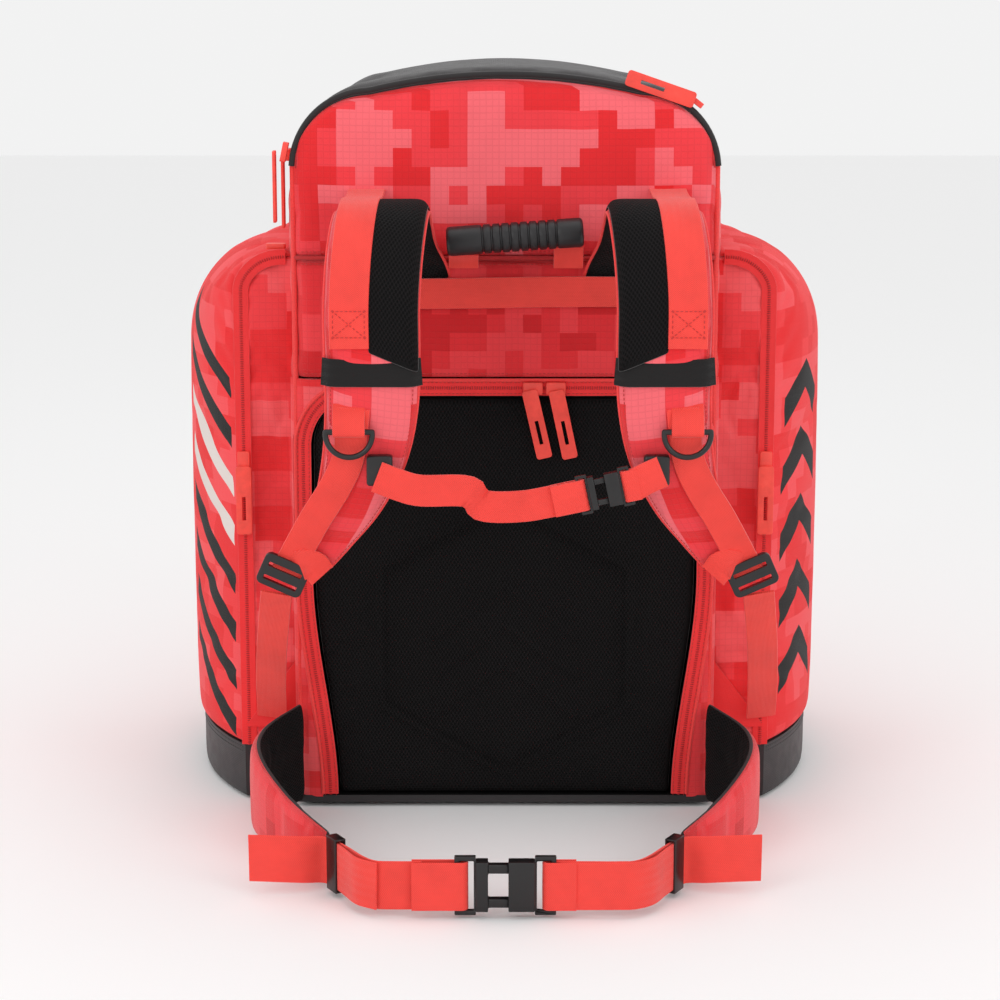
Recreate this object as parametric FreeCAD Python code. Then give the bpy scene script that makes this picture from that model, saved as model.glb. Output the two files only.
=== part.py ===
import FreeCAD, Part
import math
import os

Vector = FreeCAD.Vector
os.makedirs("parts", exist_ok=True)

# A backpack for a pair of ski boots, standing on its base. Millimetres, +Z up. The harness side
# faces -Y and +X is to the right of somebody who looks at that side. The origin is the centre of
# the underside of the main compartment.

# ---- driving dimensions: main compartment ----
BODY_W = 350.0              # across the side walls
BODY_D = 340.0              # harness side to front
BODY_H = 616.0              # underside to the top of the lid
SHOULDER_Z = 540.0          # where the sides start to round over into the top
SHOULDER_MID_IN = 16.0      # how far the middle point of the shoulder arc lies inside the side
SHOULDER_MID_Z = 580.0
CROWN_W = 220.0             # width of the gentle arc over the top
CROWN_Z = 603.0
WALL_T = 5.0                # padded side and front walls
BACK_T = 10.0               # wall above the back door
BASE_T = 6.0
LID_T = 6.0
SEAM_GAP = 0.4              # open seam between a moving panel and its neighbour
DOOR_GAP = 1.0              # the back door's inner edge rises a little as it swings

# ---- back door: the padded mesh panel against the wearer's back ----
DOOR_T = 20.0
DOOR_BOTTOM_Z = 8.0
DOOR_TOP_Z = 352.0
DOOR_WIDE_Z = 200.0
DOOR_CORNER = 42.0
DOOR_HALF_WIDE = 160.0
DOOR_HALF_BOTTOM = DOOR_HALF_WIDE - 19.0
ZIP_W = 14.0                # zip tape round the back door
PANEL_Z = DOOR_TOP_Z + ZIP_W

# ---- side boot pockets ----
POCKET_HALF_D = BODY_D / 2 - 20.0
POCKET_EDGE_W = 47.0        # how far the pocket stands out at its two upright edges
POCKET_MID_W = 97.0         # how far it stands out half way along
POCKET_TOP_Z = 470.0
POCKET_SHOULDER_Z = 385.0
POCKET_T = 6.0
POCKET_BASE_H = 48.0

# ---- front pocket ----
FRONT_W = 250.0
FRONT_H = 330.0
FRONT_Z = 50.0
FRONT_D = 26.0

# ---- grab handle ----
GRIP_R = 12.0
GRIP_LEN = 110.0
GRIP_X = 8.0
GRIP_OUT = 30.0             # centre of the grip to the back wall
GRIP_Z = 486.0
GRIP_TILT = 3.5             # degrees, right end up
RIB_COUNT = 9
RIB_PITCH = 8.6
RIB_W = 5.4
RIB_H = 1.6
HANDLE_PIN_OUT = 8.0
HANDLE_PIN_DROP = 24.0
LUG_W = 9.0
LUG_T = 3.0

# ---- shoulder straps: (from the harness centre, y, z, width, thickness) ----
HARNESS_X = 10.0            # the harness hangs a little to the right
BACK_Y = -BODY_D / 2
ROOT_Z = 426.0              # lower edge of the band that the straps are sewn under
ROOT_BAND_W = 25.0
LOCK_X = BODY_W / 2 + 6.0
STRAP_STATIONS = [
    (87.0, BACK_Y - 2.2, ROOT_Z + 1.0, 72.0, 4.0),
    (92.0, BACK_Y - 2.7, ROOT_Z + 26.0, 72.0, 5.0),
    (101.0, BACK_Y - 26.0, ROOT_Z + 51.0, 72.0, 12.0),
    (104.0, BACK_Y - 52.0, ROOT_Z + 70.0, 72.0, 14.0),
    (105.0, BACK_Y - 84.0, ROOT_Z + 84.0, 72.0, 14.0),
    (107.0, BACK_Y - 116.0, ROOT_Z + 77.0, 72.0, 14.0),
    (110.0, BACK_Y - 135.0, ROOT_Z + 52.0, 72.0, 14.0),
    (112.0, BACK_Y - 142.0, ROOT_Z + 18.0, 72.0, 14.0),
    (112.0, BACK_Y - 141.0, ROOT_Z - 20.0, 72.0, 14.0),
    (113.0, BACK_Y - 134.0, ROOT_Z - 61.0, 70.0, 13.0),
    (119.0, BACK_Y - 124.0, ROOT_Z - 100.0, 64.0, 12.0),
    (132.0, BACK_Y - 111.0, ROOT_Z - 138.0, 52.0, 11.0),
    (LOCK_X - 33.0, BACK_Y - 98.0, ROOT_Z - 169.0, 38.0, 9.0),
    (LOCK_X - 21.0, BACK_Y - 90.0, ROOT_Z - 193.0, 24.0, 7.0),
]
MESH_T = 2.0
MESH_INNER_SHARE = 0.55     # share of the strap's width under the mesh overlay
WEB_T = 1.8
LIFTER_SHARE = (0.52, 0.94)
LIFTER_LOW = 7.75           # station numbers, counted from the root of the strap
LIFTER_HIGH = 4.0
LIFTER_WALL_Z = 522.0
ELASTIC_FROM = 8.05
ELASTIC_TO = 8.55
STRAP_WEB_W = 25.0

# ---- D-rings ----
RING_W = 40.0
RING_H = 24.0
RING_WIRE = 4.4
RING_X = 130.0              # from the harness centre
RING_BAR_Z = ROOT_Z - 79.0
RING_BAR_Y = BACK_Y - 144.5
LOOP_TOP_Z = RING_BAR_Z + 20.0
FIT = 0.3                   # running clearance of webbing loops and rings

# ---- ladder locks and the webbing below them ----
LOCK_Y = BACK_Y - 98.0
LOCK_Z = ROOT_Z - 190.0
LOCK_W = 38.0
LOCK_H = 26.0
LOCK_T = 7.0
ANCHOR_X = BODY_W / 2 + 33.0
ANCHOR_Z = 74.0

# ---- sternum strap ----
STERNUM_Y = BACK_Y - 142.0
CLIP_X = 107.0
CLIP_Z = ROOT_Z - 110.0
CLIP_SIZE = (20.0, 10.0, 24.0)
STERNUM_WEB_W = 25.0
STERNUM_BUCKLE_X = 77.0
STERNUM_BUCKLE_Z = CLIP_Z - 15.0
STERNUM_TILT = 12.0
STERNUM_TRAVEL = 14.0

# ---- hip belt: path of the right wing in plan, with its lower and upper edge ----
WING_STATIONS = [
    (BODY_W / 2 - 3.0, BACK_Y - 2.0, 5.0, 91.0),
    (BODY_W / 2 + 24.0, BACK_Y - 45.0, 4.0, 81.0),
    (BODY_W / 2 + 22.0, BACK_Y - 95.0, 3.0, 73.0),
    (BODY_W / 2 - 5.0, BACK_Y - 148.0, 3.0, 56.0),
    (BODY_W / 2 - 39.0, BACK_Y - 200.0, 4.5, 45.0),
]
WING_T = 12.0
BELT_Y = BACK_Y - 262.0
BELT_LOW = 5.5
BELT_W = 38.0
BELT_STRAIGHT_X = 97.0      # outside this the belt turns towards the wings
TAIL_END_X = BODY_W / 2 + 21.0
TAIL_END_OUT = 213.0
KEEPER_LEN = 16.0
KEEPER_START = 7.0          # from the tip of the wing
WAIST_TRAVEL = 24.0

# ---- buckles: (half length, height, thickness) ----
WAIST_BUCKLE = (38.0, 46.0, 12.0)
STERNUM_BUCKLE = (21.0, 31.0, 9.0)
BUCKLE_WALL = 2.0
PRONG_FIT = 0.5

# ---- zip sliders and pulls ----
SLIDER = (16.0, 5.0, 10.0)
SLIDER_GAP = 0.5
PULL_LEN = 58.0
PULL_W = 13.0
PULL_T = 2.4
PULL_SLOT = (3.0, 20.0)
DOOR_SLIDER_X = (23.0, 42.0)
DOOR_PULL_X = (20.0, 42.0)
DOOR_PULL_TILT = (13.0, 12.0)
POCKET_SLIDER_Z = 295.0
LID_SIDE_Y = BACK_Y + 32.0
ARC_SLIDER_Y = BACK_Y + 4.0
ARC_LIFT = 2.3              # clears the piping
LEFT_ARC_ANGLE = 12.0       # degrees up the shoulder arc
RIGHT_ARC_ANGLE = 52.0
RIGHT_PULL_TURN = 109.0

# Details of the harness, shared by the pieces that meet there
LIFTER_LIFT = 0.6           # load lifter over the mesh overlay
ELASTIC_LIFT = 0.1
ELASTIC_T = 1.6
ELASTIC_OVERHANG = 0.03     # share of the strap's width
OVERLAY_FROM = 2.6          # strap station where the mesh overlay begins
OVERLAY_TO = 7.9
OVERLAY_INSET = 0.02
WEB_HUG = 0.8               # strap webbing over the face of the strap
WEB_LEAN = 24.0
WEB_BEND_DROP = 19.0        # bends of the strap webbing, below the bar of the ring
WEB_LOW_DROP = 57.0
WEB_LOW_SHIFT = 24.0
LOCK_SLOTS_Z = (-8.5, -19.5)
LOCK_SLOT_H = 3.6
LOCK_SIDE_BAR = 5.0
LOCK_CORNER_R = 5.0
LOWER_LEAN = 10.0
LOWER_END_OUT = 7.0
GUSSET_UP = 50.0
GUSSET_DOWN = 10.0
GUSSET_W = 44.0
GUSSET_RISE = 4.0
GUSSET_T = 3.0
ROOT_BAND_OUT = 5.3         # back face of the root band from the bag
ROOT_BAND_INSET = 5.0

# Shares of a buckle's half length, height and thickness
NECK_SHARE = 0.58
MOUTH_SHARE = 0.06
ROOT_SHARE = 0.34
TIP_SHARE = 0.46
BAR_SHARE = 0.11
BODY_SHARE = 0.42
PRONG_SHARE = 0.15
BAR_T_SHARE = 0.21
WINDOW_RIM = 1.5

# Details of the belt
WING_T_SHARES = (0.7, 1.0, 1.0, 0.9, 0.45)
KEEPER_ROOM = 2.2
KEEPER_SHIFT = 0.5
KEEPER_FIT = 0.8
KEEPER_WALL = 1.6
PLY_GAP = 0.6
BELT_START = (0.6, 0.9)     # start and bend of the webbing, in and forward from the wing's tip
BELT_BEND = (18.0, 32.0)
TAIL_TURN_GAP = 4.5
TAIL_BEND = (22.0, 12.0)
TAIL_RISE = 4.0

# ---------------------------------------------------------------- tools
def block(x0, x1, y0, y1, z0, z1):
    return Part.makeBox(x1 - x0, y1 - y0, z1 - z0, Vector(x0, y0, z0))


def xz_prism(outline, y0, y1):
    corners = [Vector(x, y0, z) for x, z in outline]
    return Part.Face(Part.makePolygon(corners + corners[:1])).extrude(Vector(0, y1 - y0, 0))


def mirror(shape, about=0.0):
    return shape.mirror(Vector(about, 0, 0), Vector(1, 0, 0))


def section(centre, across, up):
    return [centre - across - up, centre + across - up, centre + across + up, centre - across + up]


def flat_faces(a, b, c, d):
    """One flat face through four corners, or two triangles where they aren't in one plane."""
    normal = (b - a).cross(d - a)
    size = max(normal.Length, 1e-9)
    if abs((c - a).dot(normal)) / size < 1e-6:
        return [Part.Face(Part.makePolygon([a, b, c, d, a]))]
    return [Part.Face(Part.makePolygon([a, b, c, a])), Part.Face(Part.makePolygon([a, c, d, a]))]


def ribbon(sections):
    """A flat strap through rectangles, each given by its centre, half width and half thickness."""
    rings = [section(*one) for one in sections]
    faces = flat_faces(*rings[0]) + flat_faces(*rings[-1])
    for ring, following in zip(rings, rings[1:]):
        for index in range(4):
            after = (index + 1) % 4
            faces += flat_faces(ring[index], ring[after], following[after], following[index])
    solid = Part.makeSolid(Part.makeShell(faces))
    if solid.Volume < 0:
        solid.reverse()
    return solid


def turned(shape, pivot, axis, degrees):
    copy = shape.copy()
    copy.rotate(pivot, axis, degrees)
    return copy


def moved(shape, x, y, z):
    copy = shape.copy()
    copy.translate(Vector(x, y, z))
    return copy


def group(shapes):
    return Part.makeCompound(shapes)


def save(name, shape):
    solids = shape.Solids
    if not solids or not all(solid.isValid() and solid.Volume > 0 for solid in solids):
        raise ValueError("bad solid in " + name)
    shape.exportStep("parts/" + name + ".step")
    print(name, len(solids), round(sum(solid.Volume for solid in solids) / 1000.0, 2), "cm3")


def plan_normals(path):
    """Outward normals of a plan path, lengthened at its corners so that a ribbon keeps its thickness."""
    normals = []
    last = len(path) - 1
    for index in range(len(path)):
        before = path[max(index - 1, 0)]
        here = path[index]
        after = path[min(index + 1, last)]
        runs = [Vector(b[0] - a[0], b[1] - a[1], 0) for a, b in ((before, here), (here, after)) if a != b]
        sides = [Vector(-run.y, run.x, 0).normalize() for run in runs]
        total = sides[0] + sides[-1]
        total.normalize()
        normals.append(total / total.dot(sides[0]))
    return normals


def plan_ribbon(path, heights, low, high):
    """A strap on edge: its faces lie low and high to the left of a plan path."""
    sections = []
    for (x, y), (z0, z1), normal in zip(path, heights, plan_normals(path)):
        centre = Vector(x, y, (z0 + z1) / 2) + normal * ((low + high) / 2)
        sections.append((centre, Vector(0, 0, (z1 - z0) / 2), normal * ((high - low) / 2)))
    return ribbon(sections)


# ---------------------------------------------------------------- main compartment
def body_wire(inset, z_bottom, y):
    """Outline of the compartment seen from the harness side, drawn inset from the outer skin."""
    half = BODY_W / 2 - inset
    mid = Vector(BODY_W / 2 - SHOULDER_MID_IN - inset * 0.9, y, SHOULDER_MID_Z - inset * 0.45)
    crown = Vector(CROWN_W / 2 - inset * 0.35, y, CROWN_Z - inset)
    top = Vector(0, y, BODY_H - inset)

    def other(point):
        return Vector(-point.x, point.y, point.z)

    foot = Vector(half, y, z_bottom)
    shoulder = Vector(half, y, SHOULDER_Z)
    return Part.Wire([
        Part.LineSegment(other(foot), foot).toShape(),
        Part.LineSegment(foot, shoulder).toShape(),
        Part.Arc(shoulder, mid, crown).toShape(),
        Part.Arc(crown, top, other(crown)).toShape(),
        Part.Arc(other(crown), other(mid), other(shoulder)).toShape(),
        Part.LineSegment(other(shoulder), other(foot)).toShape(),
    ])


def body_prism(inset, z_bottom, y0, y1):
    return Part.Face(body_wire(inset, z_bottom, y0)).extrude(Vector(0, y1 - y0, 0))


def make_base_board():
    return block(-BODY_W / 2, BODY_W / 2, BACK_Y, BODY_D / 2, 0, BASE_T)


def make_front_panel():
    return body_prism(LID_T + SEAM_GAP, BASE_T, BODY_D / 2 - WALL_T, BODY_D / 2)


def make_front_panel_sides(panel):
    """The front panel is as wide as the bag up to the lid, so that it covers the side walls."""
    low = block(-BODY_W / 2, BODY_W / 2, BODY_D / 2 - WALL_T, BODY_D / 2, BASE_T, SHOULDER_Z)
    return panel.fuse(low).removeSplitter()


def make_side_wall():
    return block(BODY_W / 2 - WALL_T, BODY_W / 2, BACK_Y + BACK_T, BODY_D / 2 - WALL_T, BASE_T, SHOULDER_Z)


def make_upper_back_panel():
    panel = body_prism(LID_T + SEAM_GAP, PANEL_Z, BACK_Y, BACK_Y + BACK_T)
    low = block(-BODY_W / 2, BODY_W / 2, BACK_Y, BACK_Y + BACK_T, PANEL_Z, SHOULDER_Z)
    return panel.fuse(low).removeSplitter()


def door_outline(grow):
    """Corners of the back door, grown sideways and upwards; its top corners are cut in two steps."""
    top = DOOR_TOP_Z + grow
    wide = DOOR_HALF_WIDE + grow
    bite = DOOR_CORNER * (1 - math.cos(math.radians(45)))
    right = [
        (DOOR_HALF_BOTTOM + grow, DOOR_BOTTOM_Z),
        (wide, DOOR_WIDE_Z),
        (wide, top - DOOR_CORNER),
        (wide - bite, top - bite),
        (wide - DOOR_CORNER, top),
    ]
    return right + [(-x, z) for x, z in reversed(right)]


def make_back_door():
    door = xz_prism(door_outline(0), BACK_Y, BACK_Y + DOOR_T)
    edges = [e for e in door.Edges if all(abs(v.Y - BACK_Y) < 0.01 for v in e.Vertexes)]
    return door.makeFillet(4.0, edges)


def make_door_zip_tape():
    """Three lengths of tape: up the left edge, up the right edge and along the top of the door."""
    ring = xz_prism(door_outline(ZIP_W), BACK_Y, BACK_Y + BACK_T)
    ring = ring.cut(xz_prism(door_outline(DOOR_GAP), BACK_Y - 1, BACK_Y + BACK_T + 1))
    ring = ring.common(block(-BODY_W, BODY_W, BACK_Y, BACK_Y + BACK_T, DOOR_BOTTOM_Z, PANEL_Z))
    top_z = DOOR_TOP_Z - DOOR_CORNER
    parts = []
    for x0, x1, z0, z1 in ((-BODY_W, 0, 0, top_z), (0, BODY_W, 0, top_z), (-BODY_W, BODY_W, top_z, BODY_H)):
        parts.append(ring.common(block(x0, x1, BACK_Y - 1, BACK_Y + BACK_T + 1, z0, z1)))
    return group(parts)


def make_back_stile():
    """The strip of back wall between the zip tape and the right side of the bag."""
    wall = block(0, BODY_W / 2, BACK_Y, BACK_Y + BACK_T, BASE_T, PANEL_Z)
    hole = xz_prism([(x, z - (2 * DOOR_BOTTOM_Z if z == DOOR_BOTTOM_Z else 0)) for x, z in door_outline(ZIP_W)],
                    BACK_Y - 1, BACK_Y + BACK_T + 1)
    return group([max(wall.cut(hole).Solids, key=lambda solid: solid.Volume)])


def make_front_pocket():
    pocket = block(-FRONT_W / 2, FRONT_W / 2, BODY_D / 2, BODY_D / 2 + FRONT_D, FRONT_Z, FRONT_Z + FRONT_H)
    uprights = [e for e in pocket.Edges if e.BoundBox.YLength > FRONT_D - 0.01]
    pocket = pocket.makeFillet(40.0, uprights)
    rim = [e for e in pocket.Edges if all(v.Y > BODY_D / 2 + FRONT_D - 0.01 for v in e.Vertexes)]
    return pocket.makeFillet(12.0, rim)


# ---------------------------------------------------------------- lid
def make_lid():
    skin = body_prism(0, BASE_T, BACK_Y, BODY_D / 2).cut(body_prism(LID_T, 0, BACK_Y - 1, BODY_D / 2 + 1))
    return skin.common(block(-BODY_W, BODY_W, BACK_Y, BODY_D / 2, SHOULDER_Z + SEAM_GAP, BODY_H + 1))


def shoulder_centre(side):
    """Centre and radius of the shoulder arc, where the lid's zip turns round the corner."""
    start = Vector(BODY_W / 2, 0, SHOULDER_Z)
    mid = Vector(BODY_W / 2 - SHOULDER_MID_IN, 0, SHOULDER_MID_Z)
    end = Vector(CROWN_W / 2, 0, CROWN_Z)
    circle = Part.Arc(start, mid, end).toShape().Curve
    return Vector(side * circle.Center.x, 0, circle.Center.z), circle.Radius


def make_lid_piping():
    """A cord of red piping along the harness edge of the lid, standing just outside the skin."""
    outer = body_prism(-2.0, BASE_T, BACK_Y + 1, BACK_Y + 5)
    inner = body_prism(0, 0, BACK_Y, BACK_Y + 6)
    return outer.cut(inner).common(block(-BODY_W, BODY_W, BACK_Y, BACK_Y + 6, SHOULDER_Z + SEAM_GAP, BODY_H + 3))


# ---------------------------------------------------------------- side boot pockets
def pocket_volume(inset, y_half, z0):
    """The room of the right boot pocket: a bowed plan cut by a section with a rounded shoulder."""
    inner_x = BODY_W / 2
    edge_x = inner_x + POCKET_EDGE_W - inset
    mid_x = inner_x + POCKET_MID_W - inset
    top_z = POCKET_TOP_Z - inset
    a = Vector(edge_x, -POCKET_HALF_D, z0)
    b = Vector(mid_x, 0, z0)
    c = Vector(edge_x, POCKET_HALF_D, z0)
    d = Vector(inner_x, POCKET_HALF_D, z0)
    e = Vector(inner_x, -POCKET_HALF_D, z0)
    plan = Part.Wire([
        Part.Arc(a, b, c).toShape(),
        Part.LineSegment(c, d).toShape(),
        Part.LineSegment(d, e).toShape(),
        Part.LineSegment(e, a).toShape(),
    ])
    tower = Part.Face(plan).extrude(Vector(0, 0, top_z - z0))
    y = -y_half
    foot = Vector(mid_x + 1, y, z0)
    low = Vector(mid_x + 1, y, POCKET_SHOULDER_Z - inset)
    bend = Vector(mid_x - 20, y, POCKET_TOP_Z - 26 - inset)
    high = Vector(inner_x + 32, y, top_z)
    wall_top = Vector(inner_x, y, top_z)
    wall_foot = Vector(inner_x, y, z0)
    profile = Part.Wire([
        Part.LineSegment(foot, low).toShape(),
        Part.Arc(low, bend, high).toShape(),
        Part.LineSegment(high, wall_top).toShape(),
        Part.LineSegment(wall_top, wall_foot).toShape(),
        Part.LineSegment(wall_foot, foot).toShape(),
    ])
    return tower.common(Part.Face(profile).extrude(Vector(0, 2 * y_half, 0)))


def make_pocket_door():
    z0 = POCKET_BASE_H + SEAM_GAP
    reach = BODY_W / 2 + SEAM_GAP
    shell = pocket_volume(0, POCKET_HALF_D, z0).cut(pocket_volume(POCKET_T, POCKET_HALF_D + 1, z0 - 1))
    return shell.common(block(reach, BODY_W, -POCKET_HALF_D, POCKET_HALF_D, z0, POCKET_TOP_Z))


def make_pocket_gussets():
    """The two fixed end walls of the right pocket."""
    room = pocket_volume(POCKET_T + SEAM_GAP, POCKET_HALF_D, POCKET_BASE_H)
    near = room.common(block(0, BODY_W, -POCKET_HALF_D, -POCKET_HALF_D + WALL_T, 0, BODY_H))
    far = room.common(block(0, BODY_W, POCKET_HALF_D - WALL_T, POCKET_HALF_D, 0, BODY_H))
    return group([near, far])


def make_pocket_base():
    """The waterproof tray under the right pocket, open towards the compartment's side wall."""
    whole = pocket_volume(0, POCKET_HALF_D, 0)
    tray = whole.common(block(0, BODY_W, -POCKET_HALF_D, POCKET_HALF_D, 0, POCKET_BASE_H))
    room = pocket_volume(POCKET_T, POCKET_HALF_D + 1, BASE_T)
    room = room.common(block(0, BODY_W, -POCKET_HALF_D + WALL_T, POCKET_HALF_D - WALL_T, BASE_T, BODY_H))
    return tray.cut(room)


# ---------------------------------------------------------------- grab handle
def handle_pin():
    return Vector(GRIP_X, BACK_Y - HANDLE_PIN_OUT, GRIP_Z - HANDLE_PIN_DROP)


def tilted(shape):
    return turned(shape, Vector(GRIP_X, 0, GRIP_Z), Vector(0, 1, 0), -GRIP_TILT)


def make_grip():
    y = BACK_Y - GRIP_OUT
    along = Vector(1, 0, 0)
    core = Part.makeCylinder(GRIP_R - RIB_H, GRIP_LEN, Vector(GRIP_X - GRIP_LEN / 2, y, GRIP_Z), along)
    sleeve_len = (GRIP_LEN - RIB_COUNT * RIB_PITCH) / 2
    shapes = []
    for start in (GRIP_X - GRIP_LEN / 2, GRIP_X + GRIP_LEN / 2 - sleeve_len):
        shapes.append(Part.makeCylinder(GRIP_R, sleeve_len, Vector(start, y, GRIP_Z), along))
    for index in range(RIB_COUNT):
        x = GRIP_X + (index - (RIB_COUNT - 1) / 2) * RIB_PITCH - RIB_W / 2
        shapes.append(Part.makeCylinder(GRIP_R, RIB_W, Vector(x, y, GRIP_Z), along))
    return tilted(core.fuse(shapes).removeSplitter())


def make_handle_webbing():
    """Two short ends of webbing from under the grip to the seam that they hinge on."""
    pin = handle_pin()
    grip = Vector(0, BACK_Y - GRIP_OUT, GRIP_Z)
    run = Vector(0, grip.y - pin.y, grip.z - pin.z)
    reach = run.Length - GRIP_R
    run.normalize()
    side = Vector(0, -run.z, run.y) * (LUG_T / 2)
    parts = []
    for x in (GRIP_X - GRIP_LEN / 2 + LUG_W / 2, GRIP_X + GRIP_LEN / 2 - LUG_W / 2):
        foot = Vector(x, pin.y, pin.z)
        across = Vector(LUG_W / 2, 0, 0)
        parts.append(tilted(ribbon([(foot, across, side), (foot + run * reach, across, side)])))
    return group(parts)


# ---------------------------------------------------------------- shoulder straps
def station(number):
    """Centre, width, thickness, run and outward normal of the strap at a station or between two."""
    last = len(STRAP_STATIONS) - 1
    low = min(int(math.floor(number)), last - 1)
    share = number - low
    values = [a + (b - a) * share for a, b in zip(STRAP_STATIONS[low], STRAP_STATIONS[low + 1])]
    before = STRAP_STATIONS[max(low - 1, 0)]
    start = STRAP_STATIONS[low]
    end = STRAP_STATIONS[low + 1]
    after = STRAP_STATIONS[min(low + 2, last)]
    run_start = Vector(0, end[1] - before[1], end[2] - before[2]).normalize()
    run_end = Vector(0, after[1] - start[1], after[2] - start[2]).normalize()
    run = run_start * (1 - share) + run_end * share
    run.normalize()
    normal = Vector(0, run.z, -run.y)
    normal = normal if number > 0 else Vector(0, 1, 0)
    return Vector(values[0], values[1], values[2]), values[3], values[4], normal


def strap_layer(numbers, shares, low, high):
    """A layer of the right strap. low and high are (share of the thickness, extra) from its middle."""
    sections = []
    for number, (left, right) in zip(numbers, shares):
        centre, width, thick, normal = station(number)
        bottom = low[0] * thick + low[1]
        top = high[0] * thick + high[1]
        middle = centre + Vector(width * ((left + right) / 2 - 0.5), 0, 0) + normal * ((bottom + top) / 2)
        across = Vector(width * (right - left) / 2, 0, 0)
        sections.append((middle, across, normal * ((top - bottom) / 2)))
    return ribbon(sections)


def on_harness(shape):
    return moved(shape, HARNESS_X, 0, 0)


def both_sides(shape):
    right = on_harness(shape)
    return group([right, mirror(right, HARNESS_X)])


def make_strap_pad():
    numbers = [float(index) for index in range(len(STRAP_STATIONS))]
    return on_harness(strap_layer(numbers, [(0, 1)] * len(numbers), (-0.5, 0), (0.5, 0)))


def make_mesh_overlay():
    """Spacer mesh over the inner half of the strap, from behind the arch down to a slanting end."""
    numbers = [OVERLAY_FROM, 3.0, 4.0, 5.0, 6.0, 7.0, OVERLAY_TO]
    widths = [0.7, 1.0, 1.0, 1.0, 1.0, 0.95, 0.3]
    shares = [(OVERLAY_INSET, MESH_INNER_SHARE * width) for width in widths]
    return both_sides(strap_layer(numbers, shares, (0.5, 0), (0.5, MESH_T)))


def make_load_lifter():
    """Webbing from a stitched end on the strap's face, up over the arch and back to the bag."""
    numbers = [LIFTER_LOW, 7.0, 6.0, 5.0, LIFTER_HIGH]
    on_strap = []
    for number in numbers:
        centre, width, thick, normal = station(number)
        share = (LIFTER_SHARE[0] + LIFTER_SHARE[1]) / 2
        across = Vector(width * (LIFTER_SHARE[1] - LIFTER_SHARE[0]) / 2, 0, 0)
        out = thick / 2 + MESH_T + LIFTER_LIFT + WEB_T / 2
        on_strap.append((centre + Vector(width * (share - 0.5), 0, 0) + normal * out, across, normal * (WEB_T / 2)))
    top, across, up = on_strap[-1]
    wall = Vector(top.x, BACK_Y, LIFTER_WALL_Z)
    on_strap.append((wall, across, Vector(0, 0, WEB_T / 2)))
    return both_sides(ribbon(on_strap))


def make_elastic():
    shares = [(-ELASTIC_OVERHANG, 1 + ELASTIC_OVERHANG)] * 2
    low, high = (0.5, ELASTIC_LIFT), (0.5, ELASTIC_LIFT + ELASTIC_T)
    return both_sides(strap_layer([ELASTIC_FROM, ELASTIC_TO], shares, low, high))


def strap_face_y(z):
    """Front of the strap at a height between its lower stations."""
    for index in range(7, len(STRAP_STATIONS) - 1):
        a, b = STRAP_STATIONS[index], STRAP_STATIONS[index + 1]
        if b[2] <= z <= a[2]:
            share = (a[2] - z) / (a[2] - b[2])
            return (a[1] - a[4] / 2) * (1 - share) + (b[1] - b[4] / 2) * share
    raise ValueError("height outside the strap")


def leaning(angle):
    """Unit vector along X, turned up by an angle in the XZ plane."""
    return Vector(math.cos(math.radians(angle)), 0, math.sin(math.radians(angle)))


def make_strap_webbing():
    """Webbing down the strap: a loop round the bar of the ring, then a run to the ladder lock."""
    half = Vector(STRAP_WEB_W / 2, 0, 0)
    thick = Vector(0, WEB_T / 2, 0)
    hug = WEB_T / 2 + WEB_HUG
    lock = Vector(LOCK_X, LOCK_Y, LOCK_Z)
    lean = leaning(WEB_LEAN) * (STRAP_WEB_W / 2)
    start_z = LOOP_TOP_Z
    bend_z = RING_BAR_Z - WEB_BEND_DROP
    low_z = RING_BAR_Z - WEB_LOW_DROP
    sections = [
        (Vector(RING_X - 4, strap_face_y(start_z) - hug, start_z), half, thick),
        (Vector(RING_X, strap_face_y(bend_z) - hug, bend_z), half, thick),
        (Vector(RING_X + WEB_LOW_SHIFT, strap_face_y(low_z) - hug - 1.0, low_z), lean, thick),
        (lock + Vector(-2, 0, 4), lean, thick),
    ]
    run = ribbon(sections)
    bar = Vector(RING_X - STRAP_WEB_W / 2, RING_BAR_Y, RING_BAR_Z)
    inner = RING_WIRE / 2 + FIT
    sleeve = Part.makeCylinder(inner + WEB_T, STRAP_WEB_W, bar, Vector(1, 0, 0))
    sleeve = sleeve.cut(Part.makeCylinder(inner, STRAP_WEB_W, bar, Vector(1, 0, 0)))
    x0, x1 = RING_X - STRAP_WEB_W / 2, RING_X + STRAP_WEB_W / 2
    front = RING_BAR_Y - inner - WEB_T
    ply = block(x0, x1, front, front + WEB_T, RING_BAR_Z, LOOP_TOP_Z)
    top = block(x0, x1, front, strap_face_y(LOOP_TOP_Z) - hug, LOOP_TOP_Z - WEB_T, LOOP_TOP_Z)
    inside = block(x0 - 1, x1 + 1, RING_BAR_Y - inner, RING_BAR_Y + inner, RING_BAR_Z, RING_BAR_Z + inner)
    sleeve = sleeve.cut(inside)
    loop = sleeve.fuse([ply, top])
    return both_sides(group([run.fuse(loop).removeSplitter()]))


def make_ring():
    """A D-shaped wire ring: a straight bar above and a bow below."""
    r = RING_WIRE / 2
    half = RING_W / 2 - r
    y = RING_BAR_Y
    bottom = RING_BAR_Z - RING_H + RING_WIRE
    a = Vector(RING_X - half, y, RING_BAR_Z)
    b = Vector(RING_X + half, y, RING_BAR_Z)
    arc = Part.Arc(a, Vector(RING_X, y, bottom), b).toShape()
    start = Part.Wire(Part.makeCircle(r, a, arc.tangentAt(arc.FirstParameter)))
    bowed = Part.Wire([arc]).makePipeShell([start], True, True)
    bar = Part.makeCylinder(r, 2 * half, a, Vector(1, 0, 0))
    knobs = [Part.makeSphere(r + 0.01, point) for point in (a, b)]
    return on_harness(bar.fuse([bowed] + knobs).removeSplitter())


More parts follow.
